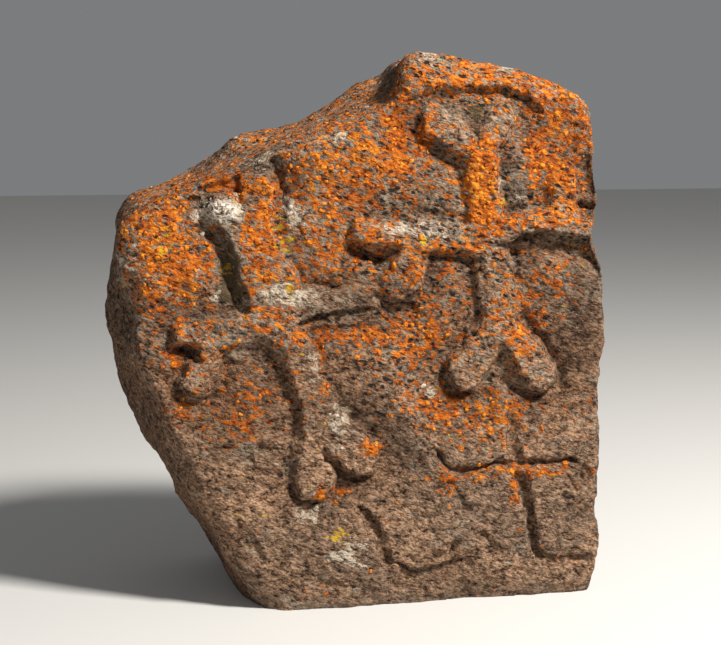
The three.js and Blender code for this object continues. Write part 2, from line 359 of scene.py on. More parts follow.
@dataclass(frozen=True)
class Carving:
    """Everything that was cut into the face, and what has broken away there since."""

    sink_depth: float = 0.024
    wall_width: float = 0.014
    floor_width: float = 0.010
    worn_edge: float = 0.007
    niche_wall: float = 0.016
    niche_radius: float = 0.084
    niche_start: tuple[float, float] = at(0.164, 0.852)
    niche_end: tuple[float, float] = at(0.286, 0.852)
    niche_share: float = 0.62
    niche_run_out: float = 1.0
    fade: float = 0.014
    ragged_size: float = 0.026
    ragged_reach: float = 0.0052
    tall: Cross = Cross(at(0.258, 0.665), 0.105, (
        Arm(at(0.242, 0.811), 0.033, 0.026, ((at(0.153, 0.876), 0.025), (at(0.288, 0.88), 0.024))),
        Arm(at(0.414, 0.692), 0.027, 0.024, ((at(0.419, 0.764), 0.026), (at(0.493, 0.655), 0.022))),
        Arm(at(0.12, 0.668), 0.028, 0.024, ((at(0.007, 0.676), 0.021), (at(0.087, 0.592), 0.034))),
        Arm(at(0.286, 0.517), 0.032, 0.030, ((at(0.209, 0.422), 0.032), (at(0.364, 0.416), 0.030))),
    ))
    low: Cross = Cross(at(-0.160, 0.530), 0.075, (
        Arm(at(-0.218, 0.672), 0.052, 0.038, ((at(-0.265, 0.72), 0.026), (at(-0.203, 0.751), 0.030))),
        Arm(at(-0.013, 0.545), 0.027, 0.030),
        Arm(at(-0.294, 0.496), 0.028, 0.022, ((at(-0.356, 0.501), 0.018), (at(-0.33, 0.414), 0.024))),
        Arm(at(-0.084, 0.336), 0.029, 0.033, ((at(-0.1, 0.235), 0.034), (at(-0.011, 0.273), 0.034))),
    ))
    grooves: tuple[Groove, ...] = (
        Groove(((0.277, 0.372), (0.281, 0.330), (0.280, 0.293), (0.285, 0.262)), 0.009, 0.015, 0.014),
        Groove(((0.136, 0.279), (0.152, 0.253), (0.175, 0.240), (0.217, 0.245), (0.247, 0.253), (0.320, 0.251),
                (0.398, 0.253)), 0.0055, 0.015, 0.010),
        Groove(((0.293, 0.226), (0.301, 0.197), (0.310, 0.161), (0.314, 0.099), (0.330, 0.076), (0.358, 0.061),
                (0.380, 0.064), (0.420, 0.066)), 0.009, 0.016, 0.014),
        Groove(((0.162, 0.222), (0.168, 0.191), (0.160, 0.168), (0.176, 0.152)), 0.002, 0.0035, 0.004),
        Groove(((-0.026, 0.205), (-0.012, 0.187), (0.006, 0.161), (0.025, 0.128), (0.032, 0.100), (0.034, 0.082)),
               0.009, 0.015, 0.014),
        Groove(((0.034, 0.082), (0.065, 0.075), (0.084, 0.057)), 0.003, 0.009, 0.007),
        Groove(((-0.120, 0.254), (-0.102, 0.261), (-0.079, 0.262)), 0.0025, 0.005, 0.005),
        Groove(((0.120, 0.193), (0.137, 0.180)), 0.002, 0.004, 0.004),
        Groove(((-0.099, 0.105), (-0.082, 0.099), (-0.065, 0.091)), 0.002, 0.004, 0.004),
    )
    channels: tuple[Groove, ...] = (
        Groove((at(-0.325, 0.734), at(-0.276, 0.655), at(-0.247, 0.56)), 0.014, 0.027, 0.015),
        Groove(((-0.244, 0.640), (-0.226, 0.582)), 0.017, 0.026, 0.014),
    )
    scours: tuple[Groove, ...] = (
        Groove(((-0.013, 0.655), (0.007, 0.637), (0.036, 0.627)), 0.008, 0.019, 0.018),
        Groove(((0.112, 0.634), (0.159, 0.634), (0.205, 0.628)), 0.004, 0.013, 0.028),
        Groove(((0.032, 0.560), (0.056, 0.541), (0.091, 0.542)), 0.005, 0.012, 0.018),
        Groove(((0.219, 0.625), (0.226, 0.583), (0.231, 0.546)), 0.004, 0.008, 0.016),
        Groove(((0.153, 0.410), (0.168, 0.385), (0.205, 0.378)), 0.005, 0.013, 0.018),
        Groove(((0.264, 0.408), (0.292, 0.383), (0.330, 0.367), (0.361, 0.382)), 0.006, 0.013, 0.018),
        Groove(((0.300, 0.515), (0.343, 0.470), (0.376, 0.419), (0.380, 0.385)), 0.008, 0.013, 0.024),
        Groove(((0.162, 0.829), (0.180, 0.796), (0.190, 0.729)), 0.003, 0.005, 0.018),
        Groove(((0.141, 0.922), (0.204, 0.931), (0.260, 0.932), (0.309, 0.920), (0.335, 0.898)), 0.004, 0.008, 0.018),
        Groove(((0.117, 0.847), (0.139, 0.841), (0.165, 0.829)), 0.003, 0.007, 0.016),
        Groove(((-0.336, 0.476), (-0.319, 0.476), (-0.300, 0.458)), 0.007, 0.018, 0.016),
        Groove(((-0.337, 0.388), (-0.316, 0.383), (-0.291, 0.387), (-0.267, 0.396)), 0.002, 0.006, 0.014),
        Groove(((-0.095, 0.588), (-0.055, 0.586), (-0.020, 0.582)), 0.003, 0.007, 0.016),
        Groove(((-0.151, 0.470), (-0.135, 0.411), (-0.123, 0.362), (-0.135, 0.311), (-0.143, 0.262)),
               0.004, 0.011, 0.018),
        Groove(((-0.073, 0.280), (-0.058, 0.262), (-0.041, 0.247), (-0.018, 0.234), (0.005, 0.237)),
               0.005, 0.015, 0.014),
        Groove(((-0.137, 0.206), (-0.112, 0.196), (-0.086, 0.197)), 0.002, 0.007, 0.012),
        Groove(((0.402, 0.727), (0.429, 0.722), (0.460, 0.728)), 0.005, 0.014, 0.012),
        Groove(((0.334, 0.757), (0.372, 0.743), (0.401, 0.735)), 0.003, 0.005, 0.018),
        Groove(((-0.310, 0.742), (-0.303, 0.712)), 0.002, 0.006, 0.010),
        Groove(((-0.155, 0.812), (-0.142, 0.775), (-0.139, 0.730)), 0.005, 0.012, 0.018),
        Groove(((-0.222, 0.780), (-0.214, 0.740)), 0.003, 0.007, 0.014),
        Groove(((-0.280, 0.729), (-0.250, 0.724), (-0.226, 0.714)), 0.010, -0.007, 0.010),
    )
    ledges: tuple[Ledge, ...] = (
        Ledge(((0.394, 0.190), (0.381, 0.215), (0.365, 0.240)), 0.011, 0.050),
        Ledge(((0.225, 0.650), (0.272, 0.662), (0.300, 0.673), (0.329, 0.681), (0.360, 0.678), (0.421, 0.665), (0.490, 0.645)),
              0.026, 0.046, 0.008),
        Ledge(((-0.140, 0.510), (-0.090, 0.532), (-0.059, 0.541), (0.010, 0.543), (0.040, 0.538)), 0.019, 0.042, 0.006),
        Ledge(((0.176, 0.203), (0.192, 0.178), (0.202, 0.162)), 0.009, 0.026),
        Ledge(((0.218, 0.143), (0.234, 0.114), (0.249, 0.100), (0.268, 0.097)), 0.010, 0.040),
        Ledge(((0.118, 0.114), (0.134, 0.095), (0.149, 0.098), (0.162, 0.118)), 0.010, 0.030),
        Ledge(((0.153, 0.070), (0.156, 0.090), (0.163, 0.122)), 0.009, 0.045),
        Ledge(((0.036, 0.084), (0.065, 0.075), (0.084, 0.060), (0.115, 0.068), (0.154, 0.074), (0.182, 0.078),
               (0.215, 0.080)), 0.014, 0.075),
        Ledge(((0.012, 0.184), (0.034, 0.191), (0.046, 0.186)), 0.007, 0.018),
        Ledge(((0.118, 0.214), (0.150, 0.224), (0.163, 0.231)), 0.007, 0.022),
        Ledge(((-0.214, 0.297), (-0.198, 0.261), (-0.176, 0.250)), 0.007, 0.040),
        Ledge(((-0.310, 0.301), (-0.260, 0.302), (-0.209, 0.301), (-0.140, 0.298)), 0.005, 0.060),
        Ledge(((-0.090, 0.058), (-0.047, 0.047), (-0.010, 0.036)), 0.007, 0.030),
        Ledge(((-0.240, 0.180), (-0.200, 0.130), (-0.180, 0.080)), 0.006, 0.050),
    )

    shallows: tuple[Patch, ...] = (
        Patch((0.335, 0.790), (0.055, 0.060), 0.60),
        Patch((-0.045, 0.430), (0.070, 0.080), 0.55),
        Patch((-0.090, 0.690), (0.060, 0.060), 0.40),
        Patch((0.010, 0.590), (0.040, 0.040), 0.40),
        Patch((0.340, 0.560), (0.050, 0.060), 0.35),
        Patch((0.172, 0.742), (0.045, 0.048), 0.72),
        Patch((-0.140, 0.330), (0.035, 0.065), 0.50),
        Patch((-0.220, 0.478), (0.045, 0.030), 0.50),
    )

    def ground(self, distance: np.ndarray, run_out: float) -> np.ndarray:
        """Depth of the ground round a cross: steep at the arm's worn edge, level, then a long climb back."""
        wall = eased((distance + self.worn_edge) / (self.wall_width + self.worn_edge))
        climb = np.clip((distance - self.floor_width) / run_out, 0.0, 1.0)
        return self.sink_depth * wall * (1.0 - climb)

    def ragged(self, x: np.ndarray, z: np.ndarray) -> tuple[np.ndarray, np.ndarray]:
        """The places on the face, shifted a little so that worn edges come out ragged."""
        places = zip((x / self.ragged_size).tolist(), (z / self.ragged_size).tolist())
        shifts = [noise.turbulence_vector(Vector((a, 0.5, b)), 2, False, amplitude_scale=0.6)[:] for a, b in places]
        shift = self.ragged_reach * np.array(shifts)
        return x + shift[:, 0], z + shift[:, 2]

    def depth(self, across: np.ndarray, up: np.ndarray) -> np.ndarray:
        """How far the face is cut back.

        Args:
            across: Across the face, in metres.
            up: Up the face, in metres.

        Returns:
            The depth of the carving at each place.
        """
        x, z = self.ragged(across, up)
        tall = self.tall.distance(x, z)
        low = self.low.distance(x, z)
        niche = bar_distance(x, z, self.niche_start, self.niche_end, self.niche_radius, self.niche_radius)
        sheltered = eased(0.5 - niche / self.niche_wall)
        above_springing = eased((z - self.niche_start[1]) / self.niche_radius)
        open_ground = self.ground(tall, self.tall.run_out) * (1.0 - above_springing)
        niche_ground = self.niche_share * self.ground(tall, self.niche_run_out) * above_springing * sheltered
        left_standing = 1.0 - painted(self.shallows, x, z)
        cuts = [(open_ground + niche_ground) * left_standing, self.ground(low, self.low.run_out) * left_standing]
        cuts.extend(channel.cut(x, z) * eased(low / self.wall_width) for channel in self.channels)
        cuts.extend(groove.cut(x, z) for groove in self.grooves)
        worn = sum(scour.cut(x, z) for scour in self.scours) + sum(ledge.cut(x, z) for ledge in self.ledges)
        return np.max(cuts, axis=0) + worn


@dataclass
class Shell:
    """A closed mesh shrunk onto the stone from a box of triangles round it."""

    form: StoneForm
    carving: Carving
    heart: np.ndarray = field(default_factory=lambda: inside(0.131, 0.03, 0.498))
    cage_half: np.ndarray = field(default_factory=lambda: inside(0.49, 0.46, 0.53))
    cage_lift: float = 0.48
    cage_step: float = 0.060
    face_spacing: float = 0.0062
    side_spacing: float = 0.0110
    back_spacing: float = 0.0200
    face_reach: float = 0.045
    back_starts: float = 0.100
    search_rounds: int = 20

    def on_surface(self, cage: np.ndarray) -> np.ndarray:
        """Where lines from the heart through the cage leave the stone, cut back by the carving.

        Args:
            cage: Points of the cage, one to a row.

        Returns:
            The carved surface's points, in the same order.
        """
        line = cage - self.heart
        near, far = np.full(len(cage), 0.2), np.full(len(cage), 2.0)
        for _ in range(self.search_rounds):
            middle = (near + far) / 2.0
            within = self.form.outside(self.heart + line * middle[:, None]) < 0.0
            near = np.where(within, middle, near)
            far = np.where(within, far, middle)
        points = self.heart + line * ((near + far) / 2.0)[:, None]
        on_face = eased(1.4 + self.form.face.distance(points) / self.carving.fade)
        points[:, 1] += self.carving.depth(points[:, 0], points[:, 2]) * on_face
        return points

    def cage(self) -> tuple[np.ndarray, np.ndarray]:
        """The box of triangles, as its points and its triangles' point numbers."""
        points, triangles = [], []
        for axis in range(3):
            first, second = (axis + 1) % 3, (axis + 2) % 3
            columns = math.ceil(2 * self.cage_half[first] / self.cage_step)
            rows = math.ceil(2 * self.cage_half[second] / self.cage_step)
            for end in (-1, 1):
                start = len(points)
                for column in range(columns + 1):
                    for row in range(rows + 1):
                        place = [0.0, 0.0, 0.0]
                        place[axis] = end * self.cage_half[axis]
                        place[first] = (2 * column / columns - 1) * self.cage_half[first]
                        place[second] = (2 * row / rows - 1) * self.cage_half[second]
                        points.append(place)
                for column in range(columns):
                    for row in range(rows):
                        a = start + column * (rows + 1) + row
                        d, b, c = a + 1, a + rows + 1, a + rows + 2
                        halves = ((a, b, c), (a, c, d)) if (column + row) % 2 else ((a, b, d), (b, c, d))
                        triangles.extend(half if end > 0 else half[::-1] for half in halves)
        places = np.array(points)
        places[:, 2] += self.cage_lift * STONE_HEIGHT
        keys = np.round(places * 1e5).astype(np.int64)
        _, kept, number = np.unique(keys, axis=0, return_index=True, return_inverse=True)
        return places[kept], number.reshape(-1)[np.array(triangles)]

    def longest_allowed(self, middles: np.ndarray) -> np.ndarray:
        """The longest side allowed at each place: short on the face, longer on the sides, long at the back."""
        near_face = self.form.face.distance(middles) > -self.face_reach
        allowed = np.where(near_face, self.face_spacing, self.side_spacing)
        unseen = (middles[:, 1] > self.back_starts) | (middles[:, 2] < -0.01)
        return np.where(unseen, self.back_spacing, allowed)

    def build(self) -> tuple[np.ndarray, np.ndarray]:
        """Halves the cage's sides until all are short enough.

        Returns:
            The surface's points and its triangles' point numbers.
        """
        cage, triangles = self.cage()
        surface = self.on_surface(cage)
        while True:
            corners = surface[triangles]
            lengths = np.linalg.norm(corners - np.roll(corners, -1, axis=1), axis=2)
            turned = (lengths.argmax(axis=1)[:, None] + np.arange(3)) % 3
            triangles = np.take_along_axis(triangles, turned, axis=1)
            ends = np.sort(np.stack([triangles, np.roll(triangles, -1, axis=1)], axis=2).reshape(-1, 2), axis=1)
            _, first, side = np.unique(ends[:, 0] * len(surface) + ends[:, 1], return_index=True, return_inverse=True)
            ends, side = ends[first], side.reshape(-1, 3)
            middles = surface[ends].mean(axis=1)
            long = np.linalg.norm(surface[ends[:, 0]] - surface[ends[:, 1]], axis=1) > self.longest_allowed(middles)
            if not long.any():
                return surface, triangles
            waiting = np.ones(1, bool)
            while waiting.any():
                waiting = (long[side[:, 1]] | long[side[:, 2]]) & ~long[side[:, 0]]
                long[side[waiting, 0]] = True
            number = np.full(len(ends), -1)
            number[long] = len(surface) + np.arange(long.sum())
            added = cage[ends[long]].mean(axis=1)
            cage = np.vstack([cage, added])
            surface = np.vstack([surface, self.on_surface(added)])
            triangles = self.halved(triangles, number[side])

    @staticmethod
    def halved(triangles: np.ndarray, middle: np.ndarray) -> np.ndarray:
        """Splits each triangle whose longest side is halved, and its halves where their own sides are.

        Args:
            triangles: Point numbers, with the longest side between the first two.
            middle: The new point's number on each of the three sides, or -1.

        Returns:
            The new triangles.
        """
        a, b, c = triangles.T
        m, n, k = middle.T
        whole = m < 0
        right, right_split = (m >= 0) & (n < 0), (m >= 0) & (n >= 0)
        left, left_split = (m >= 0) & (k < 0), (m >= 0) & (k >= 0)
        return np.vstack([
            triangles[whole],
            np.stack([m, b, c], axis=1)[right],
            np.stack([m, b, n], axis=1)[right_split],
            np.stack([m, n, c], axis=1)[right_split],
            np.stack([c, a, m], axis=1)[left],
            np.stack([c, k, m], axis=1)[left_split],
            np.stack([k, a, m], axis=1)[left_split],
        ])


def point_normals(points: np.ndarray, triangles: np.ndarray) -> np.ndarray:
    """The outward normal at each point, weighted by the area of the triangles round it."""
    corners = points[triangles]
    across = np.cross(corners[:, 1] - corners[:, 0], corners[:, 2] - corners[:, 0])
    normals = np.zeros_like(points)
    for corner in range(3):
        np.add.at(normals, triangles[:, corner], across)
    return normals / np.maximum(np.linalg.norm(normals, axis=1, keepdims=True), 1e-12)


@dataclass(frozen=True)
class Weathering:
    """Roughness of the stone: slow lumps, streaked grain, split layers on the broken sides, and cavities."""

    lump_size: float = 0.070
    lump_height: float = 0.0040
    knob_size: float = 0.026
    knob_height: float = 0.0026
    grain_size: float = 0.0125
    grain_height: float = 0.0015
    grain_turn: float = math.radians(18.0)
    grain_stretch: float = 1.7
    layer_size: float = 0.110
    layer_height: float = 0.0024
    layer_steps: float = 2.2
    cavity_size: float = 0.020
    cavity_depth: float = 0.0042
    cavity_starts: float = 0.42
    cavity_full: float = 0.72
    side_share: float = 0.60

    def fractal(self, points: np.ndarray, size: float, octaves: int) -> np.ndarray:
        """Layered noise about zero at a given size, finer with each octave."""
        scaled = points / size
        return np.array([noise.fractal(Vector(point), 0.9, 2.1, octaves) for point in scaled.tolist()])

    def streaked(self, points: np.ndarray) -> np.ndarray:
        """The points turned and squeezed, so that noise on them runs down to the right in short streaks."""
        along = points[:, 0] * math.cos(self.grain_turn) - points[:, 2] * math.sin(self.grain_turn)
        across = points[:, 0] * math.sin(self.grain_turn) + points[:, 2] * math.cos(self.grain_turn)
        return np.stack([along / self.grain_stretch, points[:, 1], across], axis=1)

    def cavities(self, points: np.ndarray) -> np.ndarray:
        """Ragged hollows that weather out where the rock is soft."""
        soft = self.fractal(points + 5.5, self.cavity_size, 2)
        return self.cavity_depth * eased((soft - self.cavity_starts) / (self.cavity_full - self.cavity_starts))

    def layers(self, points: np.ndarray) -> np.ndarray:
        """Broken edges of the layers that the stone splits along."""
        level = self.fractal(points * np.array([0.8, 1.0, 1.5]), self.layer_size, 3) * self.layer_steps
        step = np.floor(level) + eased((level - np.floor(level)) * 2.6 - 0.8)
        return self.layer_height * step

    def rise(self, points: np.ndarray, normals: np.ndarray) -> np.ndarray:
        """How far each point stands out from the smooth stone.

        Args:
            points: The smooth surface.
            normals: Its normals.

        Returns:
            The distance to move each point along its normal.
        """
        facing_front = eased(-normals[:, 1] * 1.8 - 0.5)
        lumps = self.lump_height * self.fractal(points, self.lump_size, 2)
        knobs = self.knob_height * self.fractal(points + 3.1, self.knob_size, 2)
        grain = self.grain_height * self.fractal(self.streaked(points) + 7.7, self.grain_size, 2)
        swells = (lumps + knobs) * (self.side_share + (1.0 - self.side_share) * facing_front)
        return swells + grain + self.layers(points) * (1.0 - facing_front) - self.cavities(points)


@dataclass(frozen=True)
class Growth:
    """Where lichen and moss grow on the stone, where holes are open in it, and where shade is painted on it."""

    orange: tuple[Patch, ...] = (
        Patch((-0.346, 0.630), (0.085, 0.125), 0.30),
        Patch((-0.001, 0.794), (0.090, 0.060), 0.22),
        Patch((0.262, 0.955), (0.190, 0.036), 0.18),
        Patch((0.388, 0.855), (0.058, 0.070), 0.20),
        Patch((0.226, 0.774), (0.030, 0.082), 0.62),
        Patch((0.368, 0.773), (0.055, 0.030), 0.22),
        Patch((0.340, 0.700), (0.085, 0.030), 0.24),
        Patch((0.330, 0.820), (0.024, 0.024), 0.34),
        Patch((-0.104, 0.599), (0.100, 0.080), 0.10),
        Patch((-0.235, 0.770), (0.050, 0.026), 0.34),
        Patch((-0.150, 0.735), (0.040, 0.045), 0.22),
        Patch((-0.050, 0.700), (0.080, 0.070), 0.12),
        Patch((0.107, 0.600), (0.094, 0.085), 0.08),
        Patch((0.122, 0.850), (0.024, 0.030), 0.40),
        Patch((0.070, 0.850), (0.018, 0.080), 0.40),
        Patch((0.205, 0.356), (0.125, 0.036), 0.52),
        Patch((0.100, 0.490), (0.100, 0.045), 0.30),
        Patch((-0.046, 0.496), (0.080, 0.013), 0.42),
        Patch((-0.074, 0.441), (0.014, 0.058), 0.34),
        Patch((0.014, 0.290), (0.024, 0.020), 0.62),
        Patch((0.225, 0.300), (0.115, 0.040), 0.18),
        Patch((0.282, 0.238), (0.150, 0.015), 0.56),
        Patch((0.152, 0.205), (0.020, 0.032), 0.48),
        Patch((0.284, 0.200), (0.014, 0.034), 0.50),
        Patch((-0.318, 0.440), (0.050, 0.055), 0.20),
        Patch((-0.335, 0.365), (0.025, 0.030), 0.40),
        Patch((-0.340, 0.450), (0.012, 0.016), 0.60),
        Patch((-0.295, 0.418), (0.034, 0.028), -0.30),
        Patch((-0.225, 0.368), (0.080, 0.060), 0.33),
        Patch((-0.200, 0.655), (0.030, 0.060), 0.20),
        Patch((0.308, 0.500), (0.045, 0.085), 0.26),
        Patch((0.112, 0.420), (0.060, 0.060), 0.24),
        Patch((0.192, 0.415), (0.034, 0.034), -0.14),
        Patch((0.335, 0.405), (0.034, 0.040), -0.14),
        Patch((0.365, 0.668), (0.085, 0.018), -0.50),
        Patch((-0.060, 0.205), (0.042, 0.018), 0.52),
        Patch((0.060, 0.158), (0.045, 0.012), 0.26),
        Patch((-0.220, 0.180), (0.110, 0.110), -0.16),
        Patch((0.260, 0.110), (0.230, 0.080), -0.16),
        Patch((0.245, 0.600), (0.060, 0.040), -0.10),
        Patch((0.430, 0.500), (0.050, 0.120), -0.26),
        Patch((0.205, 0.880), (0.060, 0.040), -0.26),
        Patch((0.290, 0.790), (0.028, 0.070), -0.22),
        Patch((0.150, 0.730), (0.050, 0.030), -0.16),
        Patch((-0.237, 0.621), (0.024, 0.070), -0.60),
        Patch((-0.450, 0.500), (0.050, 0.130), -0.36),
        Patch((-0.030, 0.548), (0.085, 0.024), -0.45),
        Patch((-0.190, 0.850), (0.060, 0.020), -0.16),
    )
    pale: tuple[Patch, ...] = (
        Patch((-0.256, 0.722), (0.044, 0.028), 1.12),
        Patch((-0.137, 0.570), (0.062, 0.018), 0.80),
        Patch((-0.263, 0.566), (0.014, 0.020), 0.85),
        Patch((0.118, 0.684), (0.078, 0.017), 0.68),
        Patch((-0.178, 0.812), (0.040, 0.024), 0.70),
        Patch((-0.130, 0.735), (0.022, 0.024), 0.50),
        Patch((-0.037, 0.850), (0.018, 0.009), 0.90),
        Patch((0.280, 0.977), (0.022, 0.011), 0.80),
        Patch((0.130, 0.990), (0.022, 0.011), 0.80),
        Patch((0.194, 0.886), (0.045, 0.026), 0.42),
        Patch((-0.094, 0.436), (0.012, 0.036), 0.80),
        Patch((-0.045, 0.340), (0.021, 0.042), 0.84),
        Patch((0.122, 0.394), (0.020, 0.022), 0.62),
        Patch((-0.103, 0.165), (0.026, 0.020), 0.76),
        Patch((-0.035, 0.098), (0.048, 0.034), 0.70),
        Patch((-0.416, 0.640), (0.022, 0.028), 0.60),
        Patch((0.249, 0.756), (0.014, 0.030), 0.60),
        Patch((0.300, 0.735), (0.020, 0.012), 0.60),
        Patch((-0.121, 0.706), (0.019, 0.028), 0.60),
        Patch((0.060, 0.760), (0.030, 0.030), 0.40),
        Patch((-0.260, 0.860), (0.060, 0.020), 0.40),
        Patch((-0.290, 0.660), (0.008, 0.050), 0.55),
    )
    yellow: tuple[Patch, ...] = (
        Patch((0.113, 0.666), (0.008, 0.012), 1.0),
        Patch((0.272, 0.728), (0.013, 0.008), 0.9),
        Patch((-0.049, 0.132), (0.018, 0.012), 0.8),
        Patch((-0.245, 0.622), (0.009, 0.010), 0.9),
        Patch((-0.134, 0.583), (0.014, 0.014), 0.6),
        Patch((-0.354, 0.661), (0.018, 0.040), 0.38),
        Patch((-0.140, 0.680), (0.024, 0.040), 0.55),
    )
    moss: tuple[Patch, ...] = (
        Patch((-0.237, 0.612), (0.024, 0.070), 0.74),
        Patch((-0.226, 0.580), (0.024, 0.020), 0.85),
        Patch((0.215, 0.894), (0.024, 0.018), 0.70),
        Patch((-0.080, 0.780), (0.050, 0.035), 0.30),
    )
    holes: tuple[Patch, ...] = (
        Patch((0.105, 0.735), (0.090, 0.040), 1.10),
        Patch((0.150, 0.600), (0.120, 0.070), 0.40),
        Patch((0.010, 0.632), (0.030, 0.014), 0.60),
        Patch((0.050, 0.450), (0.110, 0.090), 0.40),
        Patch((-0.040, 0.530), (0.060, 0.014), 0.70),
        Patch((0.350, 0.740), (0.080, 0.050), 0.40),
        # These two also paint the shadow under the tall cross's arms as dark holes.
        Patch((0.365, 0.662), (0.085, 0.014), 0.80),
        Patch((0.155, 0.630), (0.055, 0.013), 0.60),
        Patch((0.200, 0.960), (0.120, 0.040), 0.35),
    )
    # Patches of painted shade: shadow under the crosses' arms, and darkening in other places.
    dark_shade: tuple[Patch, ...] = (
        Patch((0.425, 0.520), (0.060, 0.130), 0.75),
        Patch((0.370, 0.664), (0.080, 0.014), 0.90),
        Patch((0.160, 0.630), (0.055, 0.013), 0.70),
        Patch((0.385, 0.850), (0.060, 0.080), 0.35),
        Patch((0.000, 0.795), (0.120, 0.050), 0.22),
        Patch((-0.215, 0.370), (0.095, 0.065), 0.80),
        Patch((0.400, 0.330), (0.070, 0.080), 0.40),
        Patch((-0.040, 0.400), (0.060, 0.080), 0.55),
        Patch((-0.275, 0.250), (0.060, 0.120), 0.35),
        Patch((-0.025, 0.548), (0.090, 0.028), 0.40),
        Patch((-0.050, 0.526), (0.065, 0.014), 0.60),
    )
    orange_low: float = 0.08
    orange_high: float = 0.50
    orange_starts: float = 0.20
    orange_full: float = 0.70

    def covers(self, points: np.ndarray, normals: np.ndarray, behind: np.ndarray, painted_shade: np.ndarray,
               weather: Weathering) -> dict[Cover, np.ndarray]:
        """How thickly each growth covers each point.

        Args:
            points: The stone's points.
            normals: Its normals.
            behind: How far each point lies behind the face's plane.
            painted_shade: How deep the carving is there, from 0 to 1.
            weather: Gives the noise that makes the patches' edges ragged.

        Returns:
            The cover of each kind at each point, from 0 to 1.
        """
        ragged = weather.fractal(points + 1.7, 0.040, 3)
        drift = weather.fractal(points + 9.2, 0.120, 3)
        x = points[:, 0] + 0.008 * ragged
        z = points[:, 2] + 0.008 * weather.fractal(points - 4.3, 0.040, 3)
        on_face = eased(1.0 - (behind - 0.036) / 0.030)
        upward = eased(normals[:, 2] * 1.5 - 0.1) * (1.0 - on_face)
        left_side = eased(-normals[:, 0] * 1.8 - 0.5) * (1.0 - on_face)
        climb = eased((points[:, 2] - self.orange_starts) / (self.orange_full - self.orange_starts))
        orange = self.orange_low + (self.orange_high - self.orange_low) * climb + 0.12 * drift
        orange += painted(self.orange, x, z) * on_face + 0.16 * upward
        orange -= 0.36 * left_side + 0.14 * painted_shade + 0.10 * (1.0 - on_face) * (1.0 - upward)
        pale = painted(self.pale, x, z) * on_face + 0.15 * upward + 0.10 * (1.0 - on_face) * climb + 0.10 * drift
        orange -= 0.5 * pale
        moss = painted(self.moss, x, z) * on_face + 0.16 * upward
        grey = 0.25 + 0.45 * climb + 0.35 * drift - 0.25 * left_side
        holes = 0.12 + 0.18 * climb + painted(self.holes, x, z) * on_face
        made = {
            Cover.ORANGE: orange,
            Cover.PALE: pale,
            Cover.YELLOW: painted(self.yellow, x, z) * on_face,
            Cover.MOSS: moss,
            Cover.GREY: grey,
            Cover.SOIL: eased((0.040 - points[:, 2] + 0.02 * ragged) / 0.06),
            Cover.HOLES: holes,
            # Painted shade: the carving's depth, the left side that faces away from the key light, and the patches of
            # painted shade darken the stone through this cover.
            Cover.PAINTED_SHADE: painted_shade + 0.9 * left_side + painted(self.dark_shade, x, z) * on_face,
        }
        return {cover: np.clip(value, 0.0, 1.0) for cover, value in made.items()}


class Board:
    """A short way to lay out the nodes of a tree and join them."""

    def __init__(self, tree: bpy.types.NodeTree) -> None:
        """Starts on an empty tree."""
        self.tree = tree

    def add(self, kind: str, **settings: object) -> bpy.types.Node:
        """A new node of that kind, with its settings."""
        node = self.tree.nodes.new(kind)
        for name, value in settings.items():
            setattr(node, name, value)
        return node

    def join(self, source: bpy.types.NodeSocket, target: bpy.types.NodeSocket) -> None:
        """Links an output to an input."""
        self.tree.links.new(source, target)

    def feed(self, value: object, target: bpy.types.NodeSocket) -> None:
        """Sets an input to a value, or links it to an output."""
        if isinstance(value, bpy.types.NodeSocket):
            self.join(value, target)
        else:
            target.default_value = value

    def run(self, kind: str, output: str, inputs: dict[str, object], **settings: object) -> bpy.types.NodeSocket:
        """Adds a node and feeds it.

        Args:
            kind: The kind of node.
            output: The name of the output that is wanted.
            inputs: What each named input is fed.
            settings: The node's settings.

        Returns:
            The wanted output.
        """
        node = self.add(kind, **settings)
        for name, value in inputs.items():
            self.feed(value, next(socket for socket in node.inputs if socket.name == name and socket.enabled))
        return next(socket for socket in node.outputs if socket.name == output and socket.enabled)

    def math(self, operation: str, a: object, b: object = 0.0) -> bpy.types.NodeSocket:
        """One step of arithmetic on one or two values."""
        node = self.add("ShaderNodeMath", operation=operation)
        self.feed(a, node.inputs[0])
        self.feed(b, node.inputs[1])
        return node.outputs["Value"]

    def rise_between(self, value: bpy.types.NodeSocket, low: object, high: object) -> bpy.types.NodeSocket:
        """Zero below low, one above high, and a smooth rise between."""
        ends = {"Value": value, "From Min": low, "From Max": high}
        return self.run("ShaderNodeMapRange", "Result", ends, interpolation_type="SMOOTHSTEP")

    def islands(self, pattern: bpy.types.NodeSocket, cover: bpy.types.NodeSocket, barest: float, reach: float,
                edge: float) -> bpy.types.NodeSocket:
        """Where a growth shows: islands in a noise that join up as the cover rises.

        Args:
            pattern: The noise.
            cover: How thickly the growth covers the place.
            barest: The noise that an island needs where the cover is nothing.
            reach: How much less it needs where the cover is full.
            edge: How soft its edge is.

        Returns:
            One where it shows, and zero where it doesn't.
        """
        edge_at = self.math("SUBTRACT", barest, self.math("MULTIPLY", cover, reach))
        return self.rise_between(pattern, self.math("SUBTRACT", edge_at, edge), self.math("ADD", edge_at, edge))


